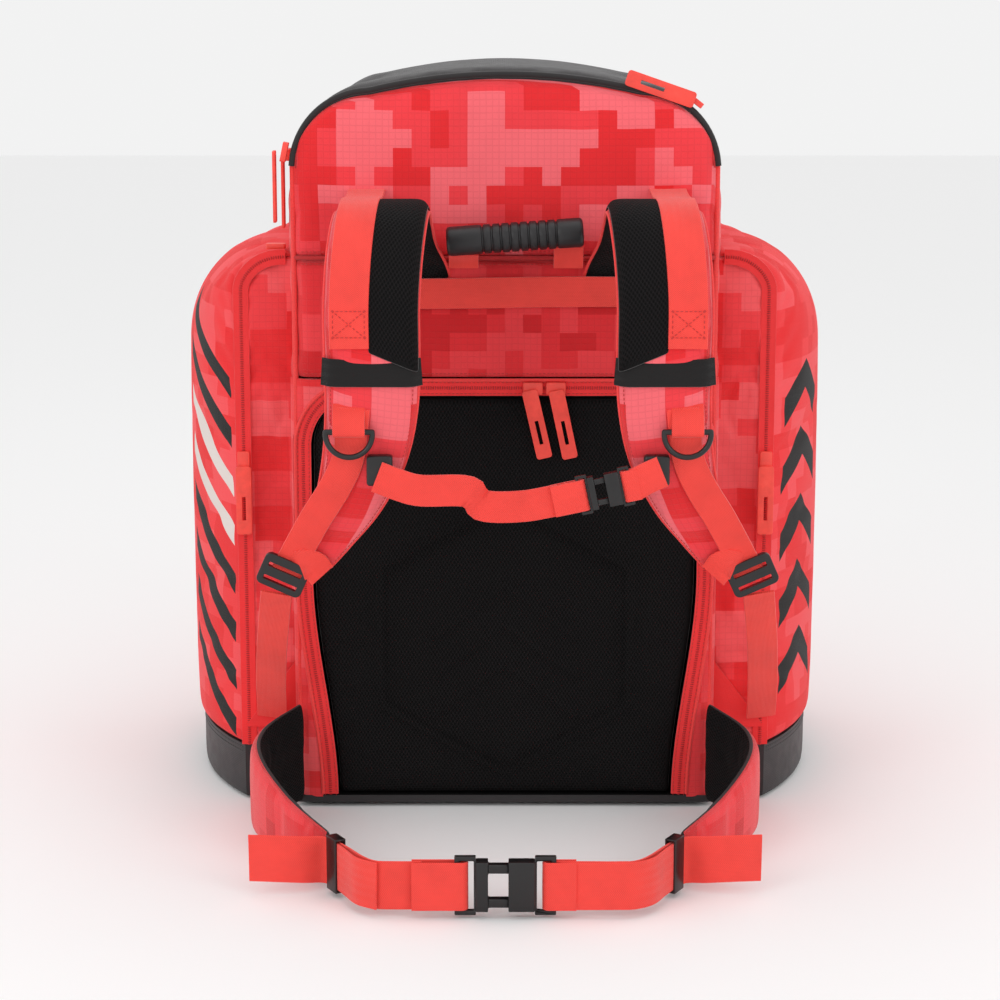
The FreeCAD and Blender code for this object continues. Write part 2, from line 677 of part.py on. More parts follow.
def make_ladder_lock():
    """A plastic ladder lock: a frame with two slots, leaning along the webbing."""
    plate = block(-LOCK_W / 2, LOCK_W / 2, -LOCK_T / 2, LOCK_T / 2, -LOCK_H, 0)
    inner = LOCK_W / 2 - LOCK_SIDE_BAR
    for z in LOCK_SLOTS_Z:
        plate = plate.cut(block(-inner, inner, -LOCK_T, LOCK_T, z - LOCK_SLOT_H / 2, z + LOCK_SLOT_H / 2))
    uprights = [e for e in plate.Edges if e.BoundBox.YLength > LOCK_T - 0.01 and abs(e.CenterOfMass.x) > LOCK_W / 2 - 1]
    plate = plate.makeFillet(LOCK_CORNER_R, uprights)
    plate = turned(plate, Vector(0, 0, 0), Vector(0, 1, 0), -WEB_LEAN)
    return both_sides(moved(plate, LOCK_X, LOCK_Y, LOCK_Z))


def make_lower_webbing():
    """Webbing from the ladder lock down to the gusset at the foot of the pocket."""
    lean = leaning(LOWER_LEAN) * (STRAP_WEB_W / 2)
    thick = Vector(0, WEB_T / 2, 0)
    low = Vector(LOCK_X + LOCK_H * math.sin(math.radians(WEB_LEAN)) + 1, LOCK_Y, LOCK_Z - LOCK_H - 2)
    end = Vector(ANCHOR_X, -POCKET_HALF_D - LOWER_END_OUT, ANCHOR_Z)
    return both_sides(ribbon([(low, lean, thick), (end, lean, thick)]))


def make_anchor_gusset():
    y1 = -POCKET_HALF_D - FIT
    inner_x = BODY_W / 2 + 1.0
    top, foot = ANCHOR_Z + GUSSET_UP, ANCHOR_Z - GUSSET_DOWN
    outline = [(inner_x, top), (inner_x, foot), (inner_x + GUSSET_W, foot + GUSSET_RISE)]
    right = xz_prism(outline, y1 - GUSSET_T, y1)
    return group([right, mirror(right)])


def make_root_band():
    """The webbing band that the two strap roots are sewn under."""
    root = STRAP_STATIONS[0]
    face = BACK_Y - ROOT_BAND_OUT
    half = root[0] + root[3] / 2 - ROOT_BAND_INSET
    return block(HARNESS_X - half, HARNESS_X + half, face - WEB_T, face, ROOT_Z, ROOT_Z + ROOT_BAND_W)


# ---------------------------------------------------------------- buckles
def buckle_female(size):
    """Socket half, pointing to -X from its bar; centre of the whole buckle at the origin."""
    half, height, thick = size
    neck = half * NECK_SHARE
    mouth = half * MOUTH_SHARE
    body = block(mouth, neck, -thick / 2, thick / 2, -height * BODY_SHARE, height * BODY_SHARE)
    frame = block(neck, half, -thick * BAR_T_SHARE, thick * BAR_T_SHARE, -height / 2, height / 2)
    slot = block(neck + WINDOW_RIM, half - half * BAR_SHARE, -thick, thick, -height * BODY_SHARE, height * BODY_SHARE)
    cavity = block(mouth - 1, neck - BUCKLE_WALL, -thick / 2 + BUCKLE_WALL, thick / 2 - BUCKLE_WALL,
                   -height * BODY_SHARE + BUCKLE_WALL, height * BODY_SHARE - BUCKLE_WALL)
    return body.fuse(frame).cut(cavity).cut(slot).removeSplitter()


def buckle_male(size):
    """Plug half with two prongs, pointing to +X."""
    half, height, thick = size
    neck = half * NECK_SHARE
    root = half * ROOT_SHARE
    tip = half * TIP_SHARE
    body = block(-neck, -root, -thick / 2, thick / 2, -height * BODY_SHARE, height * BODY_SHARE)
    frame = block(-half, -neck, -thick * BAR_T_SHARE, thick * BAR_T_SHARE, -height / 2, height / 2)
    slot = block(-half + half * BAR_SHARE, -neck - WINDOW_RIM, -thick, thick, -height * BODY_SHARE, height * BODY_SHARE)
    reach = height * BODY_SHARE - BUCKLE_WALL - PRONG_FIT
    prong_t = thick / 2 - BUCKLE_WALL - PRONG_FIT
    prong_w = height * PRONG_SHARE
    solids = [frame]
    for z0 in (-reach, reach - prong_w):
        solids.append(block(-root, tip, -prong_t, prong_t, z0, z0 + prong_w))
    return body.fuse(solids).cut(slot).removeSplitter()


def loop_round_bar(size, width, length):
    """Webbing doubled round the bar of the plug half, running to -X."""
    half, height, thick = size
    inner_y = thick * BAR_T_SHARE + FIT
    bend = -half + half * BAR_SHARE + FIT
    outer = block(-half - length, bend + WEB_T, -inner_y - WEB_T, inner_y + WEB_T, -width / 2, width / 2)
    return outer.cut(block(-half - length - 1, bend, -inner_y, inner_y, -width, width))


def waist_place(shape):
    return moved(shape, 0, BELT_Y, BELT_LOW + BELT_W / 2)


def sternum_place(shape):
    leaning = turned(shape, Vector(0, 0, 0), Vector(0, 1, 0), -STERNUM_TILT)
    return moved(leaning, STERNUM_BUCKLE_X, STERNUM_Y, STERNUM_BUCKLE_Z)


def sternum_point(x_local):
    angle = math.radians(STERNUM_TILT)
    return Vector(STERNUM_BUCKLE_X + x_local * math.cos(angle), STERNUM_Y,
                  STERNUM_BUCKLE_Z + x_local * math.sin(angle))


# ---------------------------------------------------------------- sternum strap
def clip_centre(side):
    return Vector(HARNESS_X + side * CLIP_X, STERNUM_Y + 5.0, CLIP_Z)


def make_sternum_clips():
    w, d, h = CLIP_SIZE
    parts = []
    for side in (-1, 1):
        c = clip_centre(side)
        clip = block(c.x - w / 2, c.x + w / 2, c.y - d / 2, c.y + d / 2, c.z - h / 2, c.z + h / 2)
        parts.append(clip.makeFillet(2.5, clip.Edges))
    return group(parts)


def make_sternum_webbing():
    """The long left run and the short right run, each from its clip towards the buckle."""
    half, height, thick = STERNUM_BUCKLE
    up = Vector(0, WEB_T / 2, 0)
    flat = Vector(0, 0, STERNUM_WEB_W / 2)
    angle = math.radians(STERNUM_TILT)
    lean = Vector(-math.sin(angle), 0, math.cos(angle)) * (STERNUM_WEB_W / 2)
    w, d, h = CLIP_SIZE
    left_clip = clip_centre(-1)
    right_clip = clip_centre(1)
    plug_end = -half - STERNUM_TRAVEL - 1.0
    left = ribbon([
        (Vector(left_clip.x, left_clip.y - d / 2 - WEB_T / 2 - 0.1, left_clip.z - 4), flat, up),
        (Vector(left_clip.x + 30, STERNUM_Y - 4, left_clip.z - 12), flat, up),
        (sternum_point(plug_end - 42) + Vector(0, 0, 3), flat, up),
        (sternum_point(plug_end - 24), lean, up),
        (sternum_point(plug_end), lean, up),
    ])
    bar_in = half - half * BAR_SHARE - FIT
    gap = thick * BAR_T_SHARE + FIT
    end = half + 7
    outer = block(bar_in - WEB_T, end, -gap - WEB_T, gap + WEB_T, -STERNUM_WEB_W / 2, STERNUM_WEB_W / 2)
    doubled = outer.cut(block(bar_in, end + 1, -gap, gap, -STERNUM_WEB_W, STERNUM_WEB_W))
    doubled = sternum_place(doubled)
    tail = ribbon([
        (sternum_point(end) + Vector(0, -gap - WEB_T / 2, 0), lean, up),
        (Vector(right_clip.x, right_clip.y - d / 2 - WEB_T / 2 - 0.1, right_clip.z), flat, up),
    ])
    return group([left, doubled.fuse(tail).removeSplitter()])


# ---------------------------------------------------------------- hip belt
def wing_path():
    return [(x, y) for x, y, z0, z1 in WING_STATIONS]


def make_wing():
    path = wing_path()
    sections = []
    thick = [WING_T * share for share in WING_T_SHARES]
    for (x, y, z0, z1), normal, t in zip(WING_STATIONS, plan_normals(path), thick):
        sections.append((Vector(x, y, (z0 + z1) / 2), Vector(0, 0, (z1 - z0) / 2), normal * (t / 2)))
    return ribbon(sections)


def belt_path():
    """Plan of the right belt webbing, from the tip of the wing to the straight run at the buckle."""
    tip = wing_path()[-1]
    near, far = BELT_START, BELT_BEND
    return [(tip[0] - near[0], tip[1] - near[1]), (tip[0] - far[0], tip[1] - far[1]), (BELT_STRAIGHT_X, BELT_Y)]


def keeper_frame():
    """Middle and run of the webbing inside the right keeper."""
    a, b, c = belt_path()
    start = Vector(a[0], a[1], 0)
    run = Vector(b[0] - a[0], b[1] - a[1], 0).normalize()
    return start + run * (KEEPER_LEN / 2 + KEEPER_START), run


def ply_heights(count):
    return [(BELT_LOW, BELT_LOW + BELT_W)] * count


def make_keeper():
    centre, run = keeper_frame()
    side = Vector(-run.y, run.x, 0)
    mid_z = BELT_LOW + BELT_W / 2
    depth = 2 * WEB_T + KEEPER_ROOM
    shift = side * (WEB_T / 2 + KEEPER_SHIFT)

    def bar(half_height, half_depth, half_length):
        a = centre + shift - run * half_length + Vector(0, 0, mid_z)
        b = centre + shift + run * half_length + Vector(0, 0, mid_z)
        across = Vector(0, 0, half_height)
        return ribbon([(a, across, side * half_depth), (b, across, side * half_depth)])

    room = BELT_W / 2 + KEEPER_FIT
    outer = bar(room + KEEPER_WALL, depth / 2 + KEEPER_WALL, KEEPER_LEN / 2)
    return outer.cut(bar(room, depth / 2, KEEPER_LEN))


def outer_side(path):
    """+1 if the outside of the belt lies to the left of the path, otherwise -1."""
    normal = plan_normals(path)[0]
    return 1.0 if normal.dot(Vector(1, -1, 0)) > 0 else -1.0


def make_belt_side(first_x):
    """Main ply from the wing's tip to first_x, and a second ply that ends in the free tail."""
    path = belt_path()
    out = outer_side(path)
    main_path = path + [(first_x, BELT_Y)]
    main = plan_ribbon(main_path, ply_heights(len(main_path)), -WEB_T / 2, WEB_T / 2)
    low, high = sorted((out * (WEB_T / 2 + PLY_GAP), out * (WEB_T * 1.5 + PLY_GAP)))
    centre, run = keeper_frame()
    turn = centre - run * (KEEPER_LEN / 2 + TAIL_TURN_GAP)
    tail_path = [(TAIL_END_X, BACK_Y - TAIL_END_OUT), (turn.x + TAIL_BEND[0], turn.y - TAIL_BEND[1]), (turn.x, turn.y)]
    tail_path += [(path[1][0], path[1][1]), (BELT_STRAIGHT_X + 0.5, BELT_Y)]
    heights = [(BELT_LOW + TAIL_RISE, BELT_LOW + BELT_W + TAIL_RISE)] + ply_heights(4)
    tail = plan_ribbon(tail_path, heights, low, high)
    return main, tail


def make_socket_belt():
    """The right belt, doubled round the bar of the socket half."""
    half, height, thick = WAIST_BUCKLE
    main, tail = make_belt_side(half + 14)
    bar_in = half - half * BAR_SHARE - FIT
    gap = thick * BAR_T_SHARE + FIT
    outer = block(bar_in - WEB_T, half + 16, -gap - WEB_T, gap + WEB_T, -BELT_W / 2, BELT_W / 2)
    doubled = outer.cut(block(bar_in, half + 17, -gap, gap, -BELT_W, BELT_W))
    doubled = moved(doubled, 0, BELT_Y, BELT_LOW + BELT_W / 2)
    bridge = block(half + 14, half + 16, BELT_Y - gap - WEB_T, BELT_Y + gap + WEB_T, BELT_LOW, BELT_LOW + BELT_W)
    return group([main.fuse([doubled, bridge]).removeSplitter(), tail])


def make_plug_belt():
    """The left belt; it stops short of the plug half, whose own loop slides over it."""
    half = WAIST_BUCKLE[0]
    main, tail = make_belt_side(half + WAIST_TRAVEL + 1.0)
    return group([mirror(main), mirror(tail)])


# ---------------------------------------------------------------- zip sliders and pulls
def slider_at_origin():
    """Slider on a zip that runs along X, its back on the plane y = 0 and its face to -Y."""
    length, depth, width = SLIDER
    body = block(-length / 2, length / 2, -depth, -SLIDER_GAP, -width / 2, width / 2)
    return body.makeFillet(1.6, [e for e in body.Edges if e.BoundBox.YLength > depth - SLIDER_GAP - 0.1])


def pull_at_origin(tilt):
    """Flat pull hanging from a pin along X at the origin, with a long slot."""
    slot_w, slot_len = PULL_SLOT
    tab = block(-PULL_W / 2, PULL_W / 2, -PULL_T, 0, -PULL_LEN, 0)
    uprights = [e for e in tab.Edges if e.BoundBox.YLength > PULL_T - 0.01]
    tab = tab.makeFillet(2.5, uprights)
    tab = tab.cut(block(-slot_w / 2, slot_w / 2, -PULL_T - 1, 1, -PULL_LEN + 12, -PULL_LEN + 12 + slot_len))
    return turned(tab, Vector(0, 0, 0), Vector(0, 1, 0), tilt)


def pull_front():
    return SLIDER[1] + 0.6


def make_door_slider(x):
    return moved(slider_at_origin(), x, BACK_Y, DOOR_TOP_Z + ZIP_W / 2)


def make_door_pull(x, tilt):
    return moved(pull_at_origin(-tilt), x, BACK_Y - pull_front(), DOOR_TOP_Z + ZIP_W / 2 - 1)


def upright(shape):
    """A slider turned so that its zip runs along Z."""
    return turned(shape, Vector(0, 0, 0), Vector(0, 1, 0), 90)


def pocket_slider_x():
    return BODY_W / 2 + POCKET_EDGE_W - 4.0


def make_pocket_slider(side):
    return moved(upright(slider_at_origin()), side * pocket_slider_x(), -POCKET_HALF_D - 0.2, POCKET_SLIDER_Z)


def make_pocket_pull(side):
    y = -POCKET_HALF_D - 0.2 - pull_front()
    return moved(pull_at_origin(0), side * pocket_slider_x(), y, POCKET_SLIDER_Z - 4)


def make_pocket_top_slider():
    """A second slider lying on top of the left pocket, with its short pull flat behind it."""
    flat = turned(slider_at_origin(), Vector(0, 0, 0), Vector(1, 0, 0), -90)
    return moved(flat, -BODY_W / 2 - 14, -POCKET_HALF_D + 10, POCKET_TOP_Z + 0.2)


def side_facing(shape, side):
    """A piece that faced -Y turned to face out of the side of the bag."""
    return turned(shape, Vector(0, 0, 0), Vector(0, 0, 1), 90 * side)


def lid_slider_z():
    return SHOULDER_Z + 8.0


def make_lid_side_slider(y):
    slider = side_facing(slider_at_origin(), -1)
    return moved(slider, -BODY_W / 2 - 0.6, y, lid_slider_z())


def make_lid_side_pull(y):
    pull = side_facing(pull_at_origin(0), -1)
    return moved(pull, -BODY_W / 2 - 0.6 - pull_front(), y, lid_slider_z() - 2)


def on_arc(shape, side, angle, y):
    """Set a side-facing piece on the shoulder arc, turned up by angle from the side of the bag."""
    centre, radius = shoulder_centre(side)
    out = moved(shape, centre.x + side * (radius + ARC_LIFT), y, centre.z)
    return turned(out, Vector(centre.x, y, centre.z), Vector(0, 1, 0), -side * angle)


def make_arc_slider(side, angle):
    slider = side_facing(upright(slider_at_origin()), side)
    return on_arc(slider, side, angle, ARC_SLIDER_Y)


def make_left_arc_pull():
    """Hangs straight down outside the left shoulder from the slider on the arc."""
    centre, radius = shoulder_centre(-1)
    angle = math.radians(LEFT_ARC_ANGLE)
    reach = radius + ARC_LIFT + pull_front() + PULL_T
    x = centre.x - reach * math.cos(angle) - 2.0
    z = centre.z + reach * math.sin(angle)
    return moved(side_facing(pull_at_origin(0), -1), x, ARC_SLIDER_Y, z)


def make_right_arc_pull():
    """Lies in front of the top edge, from the slider on the right shoulder towards the middle."""
    centre, radius = shoulder_centre(1)
    angle = math.radians(RIGHT_ARC_ANGLE)
    reach = radius + ARC_LIFT + SLIDER[1] / 2
    pull = turned(pull_at_origin(0), Vector(0, 0, 0), Vector(0, 1, 0), RIGHT_PULL_TURN)
    return moved(pull, centre.x + reach * math.cos(angle), BACK_Y - 1.4, centre.z + reach * math.sin(angle))


# ---------------------------------------------------------------- build every piece
def build():
    save("base_board", make_base_board())
    save("front_panel", make_front_panel_sides(make_front_panel()))
    save("left_side_wall", mirror(make_side_wall()))
    save("right_side_wall", make_side_wall())
    save("upper_back_panel", make_upper_back_panel())
    save("left_back_stile", mirror(make_back_stile()))
    save("right_back_stile", make_back_stile())
    save("door_zip_tape", make_door_zip_tape())
    save("front_pocket", make_front_pocket())
    save("back_door_pad", make_back_door())
    save("lid_shell", make_lid())
    save("lid_piping", make_lid_piping())
    for name, side in (("right", 1), ("left", -1)):
        pieces = {
            "_pocket_base": make_pocket_base(),
            "_pocket_gussets": make_pocket_gussets(),
            "_pocket_door": make_pocket_door(),
            "_hip_wing": make_wing(),
        }
        for tail, shape in pieces.items():
            save(name + tail, shape if side > 0 else mirror(shape))
        for tail, shape in (("_strap_pad", make_strap_pad()), ("_d_ring", make_ring())):
            save(name + tail, shape if side > 0 else mirror(shape, HARNESS_X))
        save(name + "_pocket_slider", make_pocket_slider(side))
        save(name + "_pocket_pull", make_pocket_pull(side))
    save("left_pocket_top_slider", make_pocket_top_slider())
    save("handle_grip", make_grip())
    save("handle_webbing", make_handle_webbing())
    save("strap_mesh_overlays", make_mesh_overlay())
    save("load_lifters", make_load_lifter())
    save("elastic_bands", make_elastic())
    save("strap_webbings", make_strap_webbing())
    save("ladder_locks", make_ladder_lock())
    save("lower_webbings", make_lower_webbing())
    save("anchor_gussets", make_anchor_gusset())
    save("strap_root_band", make_root_band())
    save("sternum_clips", make_sternum_clips())
    save("sternum_webbings", make_sternum_webbing())
    save("sternum_socket", sternum_place(buckle_female(STERNUM_BUCKLE)))
    save("sternum_plug", sternum_place(buckle_male(STERNUM_BUCKLE)))
    save("sternum_loop", sternum_place(loop_round_bar(STERNUM_BUCKLE, STERNUM_WEB_W, STERNUM_TRAVEL + 6)))
    save("belt_keepers", group([make_keeper(), mirror(make_keeper())]))
    save("right_belt_webbing", make_socket_belt())
    save("left_belt_webbing", make_plug_belt())
    save("waist_socket", waist_place(buckle_female(WAIST_BUCKLE)))
    save("waist_plug", waist_place(buckle_male(WAIST_BUCKLE)))
    save("waist_loop", moved(loop_round_bar(WAIST_BUCKLE, BELT_W, WAIST_TRAVEL + 8),
                             0, BELT_Y, BELT_LOW + BELT_W / 2))
    for name, x, pull_x, tilt in zip(("left", "right"), DOOR_SLIDER_X, DOOR_PULL_X, DOOR_PULL_TILT):
        save("door_slider_" + name, make_door_slider(x))
        save("door_pull_" + name, make_door_pull(pull_x, tilt))
    save("lid_slider_side", make_lid_side_slider(LID_SIDE_Y))
    save("lid_pull_side", make_lid_side_pull(LID_SIDE_Y))
    save("lid_slider_left", make_arc_slider(-1, LEFT_ARC_ANGLE))
    save("lid_pull_left", make_left_arc_pull())
    save("lid_slider_right", make_arc_slider(1, RIGHT_ARC_ANGLE))
    save("lid_pull_right", make_right_arc_pull())


build()
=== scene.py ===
# %% [markdown]
# # A backpack for ski boots
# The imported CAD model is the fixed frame. Every piece below is set on it in metres, with +Z up and
# the harness side facing -Y. We open the frame first, because every other cell asks it for places.

import math

import bmesh
import bpy
import numpy as np
from mathutils import Matrix, Vector
from mathutils.bvhtree import BVHTree


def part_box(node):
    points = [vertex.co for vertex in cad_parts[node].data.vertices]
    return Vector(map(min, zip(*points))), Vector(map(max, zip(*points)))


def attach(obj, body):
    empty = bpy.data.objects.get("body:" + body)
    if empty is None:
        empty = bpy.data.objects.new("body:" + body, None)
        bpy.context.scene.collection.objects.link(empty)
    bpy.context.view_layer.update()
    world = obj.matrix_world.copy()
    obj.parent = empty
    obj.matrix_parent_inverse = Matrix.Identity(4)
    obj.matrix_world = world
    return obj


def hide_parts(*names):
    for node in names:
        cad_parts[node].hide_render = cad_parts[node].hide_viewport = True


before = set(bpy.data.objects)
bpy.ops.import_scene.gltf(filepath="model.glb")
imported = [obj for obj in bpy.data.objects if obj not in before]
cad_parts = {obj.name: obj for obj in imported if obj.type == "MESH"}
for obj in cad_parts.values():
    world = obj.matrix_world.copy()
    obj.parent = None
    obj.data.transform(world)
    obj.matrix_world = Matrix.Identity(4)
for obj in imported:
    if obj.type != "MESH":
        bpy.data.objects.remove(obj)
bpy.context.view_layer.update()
MM = 0.001
scene = bpy.context.scene
print("pieces in the frame:", len(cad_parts))

# %% [markdown]
# The camera stands a little above the bag and two metres in front of it, as in a catalogue studio.
# A long lens keeps the sides almost parallel. It looks down rather than shifting its lens, so that
# the same camera can walk round the bag later.

# %% Camera
CAMERA_AT = Vector((-0.004, -2.19, 0.67))
CAMERA_AIM = Vector((-0.004, -0.17, 0.265))
CAMERA_LENS = 89.3

camera_data = bpy.data.cameras.new("studio_camera")
camera_data.lens = CAMERA_LENS
camera_data.sensor_width = 36.0
camera = bpy.data.objects.new("studio_camera", camera_data)
camera.location = CAMERA_AT
camera.rotation_euler = (CAMERA_AIM - CAMERA_AT).to_track_quat("-Z", "Y").to_euler()
scene.collection.objects.link(camera)
scene.camera = camera
scene.view_settings.view_transform = "Standard"
scene.view_settings.look = "None"
print("camera lens", CAMERA_LENS, "mm")

# %% [markdown]
# Cloth reads best in broad, soft light. Two large panels stand to the left and right, one hangs
# above, and the pale room fills the shadows. The floor is a plain sheet that is not part of the bag.


# %% Floor and light
def soft_panel(name, place, aim, size, power):
    """A square area light at place that points at aim."""
    data = bpy.data.lights.new(name, "AREA")
    data.size = size
    data.energy = power
    light = bpy.data.objects.new(name, data)
    light.location = place
    light.rotation_euler = (Vector(aim) - Vector(place)).to_track_quat("-Z", "Y").to_euler()
    scene.collection.objects.link(light)


soft_panel("key_left", (-1.7, -2.2, 1.3), (0, 0, 0.3), 1.2, 11)
soft_panel("key_right", (1.9, -2.0, 1.2), (0, 0, 0.3), 1.2, 9)
soft_panel("top_panel", (0, -0.3, 2.4), (0, 0, 0.3), 1.6, 5)

world = bpy.data.worlds.new("pale_room")
scene.world = world
world.use_nodes = True
world.node_tree.nodes["Background"].inputs["Color"].default_value = (0.89, 0.89, 0.89, 1)
world.node_tree.nodes["Background"].inputs["Strength"].default_value = 1.0

floor_mesh = bpy.data.meshes.new("studio_floor")
floor_mesh.from_pydata([(-9, -9, -0.001), (9, -9, -0.001), (9, 9, -0.001), (-9, 9, -0.001)], [], [(0, 1, 2, 3)])
floor = bpy.data.objects.new("studio_floor", floor_mesh)
scene.collection.objects.link(floor)
floor_paint = bpy.data.materials.new("pale_floor")
floor_paint.use_nodes = True
floor_paint.node_tree.nodes["Principled BSDF"].inputs["Base Color"].default_value = (0.94, 0.94, 0.94, 1)
floor_paint.node_tree.nodes["Principled BSDF"].inputs["Roughness"].default_value = 0.9
floor_mesh.materials.append(floor_paint)

# %% [markdown]
# Each finish is a small tree of nodes. Writing trees by hand is long-winded, so a little helper class
# adds a node, fills its sockets and returns it. Cloth patterns read the piece's own UV map, which
# every cloth piece carries in real metres, so that a weave has the same size everywhere.


# %% A helper that writes node trees
class Finish:
    """One material under construction."""

    def __init__(self, name, **constants):
        self.material = bpy.data.materials.new(name)
        self.material.use_nodes = True
        self.tree = self.material.node_tree
        self.shader = self.tree.nodes["Principled BSDF"]
        for socket, value in constants.items():
            self.shader.inputs[socket.replace("_", " ")].default_value = value

    def put(self, socket, value):
        if isinstance(value, bpy.types.NodeSocket):
            self.tree.links.new(value, socket)
        else:
            socket.default_value = value

    def node(self, kind, values=(), **settings):
        made = self.tree.nodes.new(kind)
        for key, value in settings.items():
            setattr(made, key, value)
        for key, value in dict(values).items():
            self.put(made.inputs[key], value)
        return made

    def math(self, operation, a, b=0.0, clamp=False):
        return self.node("ShaderNodeMath", {0: a, 1: b}, operation=operation, use_clamp=clamp).outputs[0]

    def vector(self, operation, a, b=(0, 0, 0)):
        return self.node("ShaderNodeVectorMath", {0: a, 1: b}, operation=operation).outputs[0]

    def cloth_place(self):
        return self.node("ShaderNodeUVMap", uv_map="cloth").outputs[0]

    def solid_place(self):
        return self.node("ShaderNodeTexCoord").outputs["Object"]

    def noise(self, place, scale, detail=2.0, rough=0.5):
        values = {"Vector": place, "Scale": scale, "Detail": detail, "Roughness": rough}
        return self.node("ShaderNodeTexNoise", values).outputs["Fac"]

    def ramp(self, value, stops, interpolation="LINEAR"):
        made = self.node("ShaderNodeValToRGB", {"Fac": value})
        made.color_ramp.interpolation = interpolation
        elements = made.color_ramp.elements
        while len(elements) < len(stops):
            elements.new(0.5)
        for element, (position, colour) in zip(elements, stops):
            element.position = position
            element.color = tuple(colour) + (1,) if len(colour) == 3 else colour
        return made.outputs["Color"]

    def remap(self, value, low, high, to_low, to_high):
        made = self.node("ShaderNodeMapRange", {0: value, 1: low, 2: high, 3: to_low, 4: to_high})
        return made.outputs[0]

    def blend(self, share, a, b, mode="MIX"):
        made = self.node("ShaderNodeMix", data_type="RGBA", blend_type=mode)
        self.put(made.inputs[0], share)
        self.put(made.inputs[6], a)
        self.put(made.inputs[7], b)
        return made.outputs[2]

    def split(self, place):
        return self.node("ShaderNodeSeparateXYZ", {0: place}).outputs

    def bump(self, height, depth, strength=1.0):
        values = {"Height": height, "Distance": depth, "Strength": strength}
        self.put(self.shader.inputs["Normal"], self.node("ShaderNodeBump", values).outputs[0])

    def wave(self, value, pitch):
        """0 to 1 and back once every pitch."""
        turns = self.math("MULTIPLY", value, 2 * math.pi / pitch)
        return self.math("ADD", self.math("MULTIPLY", self.math("SINE", turns), 0.5), 0.5)

    def line(self, value, pitch, share):
        """1 on a thin line once every pitch, 0 between."""
        cycle = self.math("FRACT", self.math("DIVIDE", value, pitch))
        return self.math("LESS_THAN", cycle, share)


def srgb(red, green, blue):
    """Linear colour of a paint given as 0 to 255 screen values."""
    return tuple(((c / 255 + 0.055) / 1.055) ** 2.4 if c > 10 else c / 3294 for c in (red, green, blue))

# %% [markdown]
# The main cloth is red nylon printed with square blocks in three tones. The cell number of each
# block (its place divided by the block and rounded down) feeds two noises, one slow for the clumps
# and one quick for ragged edges, and a ramp with hard steps picks the tone. Fine ripstop lines cross
# the weave every few millimetres.

# %% Printed block cloth
BLOCK = 15.0 * MM
RIPSTOP = 5.2 * MM
THREAD = 0.75 * MM
TONES = [srgb(236, 34, 40), srgb(247, 60, 68), srgb(254, 108, 116)]


def weave_height(paint, place):
    """Plain weave with raised ripstop lines both ways."""
    across = paint.split(place)
    weave = paint.math("MULTIPLY", paint.wave(across[0], THREAD), paint.wave(across[1], THREAD))
    rib = paint.math("MAXIMUM", paint.line(across[0], RIPSTOP, 0.14), paint.line(across[1], RIPSTOP, 0.14))
    slub = paint.noise(place, 900.0, 2.0)
    height = paint.math("ADD", paint.math("MULTIPLY", weave, 0.5), paint.math("MULTIPLY", rib, 0.6))
    return paint.math("ADD", height, paint.math("MULTIPLY", slub, 0.5)), rib


def block_tone(paint, place, tones, shift):
    """Constant-step ramp over clumped block noise."""
    cell = paint.vector("FLOOR", paint.vector("MULTIPLY", place, (1 / BLOCK, 1 / BLOCK, 0)))
    wide = paint.vector("FLOOR", paint.vector("MULTIPLY", place, (0.5 / BLOCK, 1 / BLOCK, 0)))
    clump = paint.noise(paint.vector("ADD", cell, (shift, shift * 2, 0.5)), 0.31, 1.0)
    patch = paint.noise(paint.vector("ADD", wide, (shift * 3 + 40, 7.3, 0.5)), 0.47, 0.0)
    ragged = paint.node("ShaderNodeTexWhiteNoise", {"Vector": cell}, noise_dimensions="2D").outputs["Value"]
    total = paint.math("ADD", paint.math("MULTIPLY", clump, 0.62), paint.math("MULTIPLY", patch, 0.30))
    total = paint.math("ADD", total, paint.math("MULTIPLY", ragged, 0.08))
    stops = [(0.0, tones[0]), (0.455, tones[1]), (0.535, tones[2])]
    return paint.ramp(total, stops, "CONSTANT")


def fade_and_dust(paint, colour, place, depth=0.10):
    """Slow changes of colour that keep a large panel from looking flat."""
    slow = paint.noise(place, 9.0, 3.0, 0.6)
    shade = paint.ramp(slow, [(0.3, (1 - depth,) * 3), (0.7, (1.0, 1.0, 1.0))])
    return paint.blend(1.0, colour, shade, "MULTIPLY")


def block_cloth(name, tones, shift=0.0):
    paint = Finish(name, Roughness=0.78, Sheen_Weight=0.25, Sheen_Roughness=0.5, Specular_IOR_Level=0.3)
    place = paint.cloth_place()
    height, rib = weave_height(paint, place)
    colour = block_tone(paint, place, tones, shift)
    darker = paint.blend(paint.math("MULTIPLY", rib, 0.10), colour, (0.45, 0.01, 0.015, 1))
    paint.put(paint.shader.inputs["Base Color"], fade_and_dust(paint, darker, place))
    paint.bump(height, 0.00035, 0.7)
    return paint.material


CAMO = block_cloth("printed_block_cloth", TONES, 3.0)
CAMO_SIDE = block_cloth("printed_block_cloth_side", [srgb(238, 40, 44), srgb(246, 60, 65), srgb(251, 90, 94)], 11.0)
CAMO_DEEP = block_cloth("printed_block_cloth_deep", [srgb(216, 22, 30), srgb(234, 40, 47), srgb(243, 60, 66)], 23.0)
print("block", BLOCK, "m, ripstop", RIPSTOP, "m")


# %% Plain red cloth, piping and thread
def plain_cloth(name, colour, rough=0.75):
    paint = Finish(name, Roughness=rough, Sheen_Weight=0.25, Sheen_Roughness=0.5, Specular_IOR_Level=0.3)
    place = paint.cloth_place()
    height, rib = weave_height(paint, place)
    slow = paint.noise(place, 14.0, 3.0, 0.6)
    tones = [(0.3, tuple(c * 0.88 for c in colour)), (0.7, colour)]
    paint.put(paint.shader.inputs["Base Color"], paint.ramp(slow, tones))
    paint.bump(height, 0.0003, 0.7)
    return paint.material


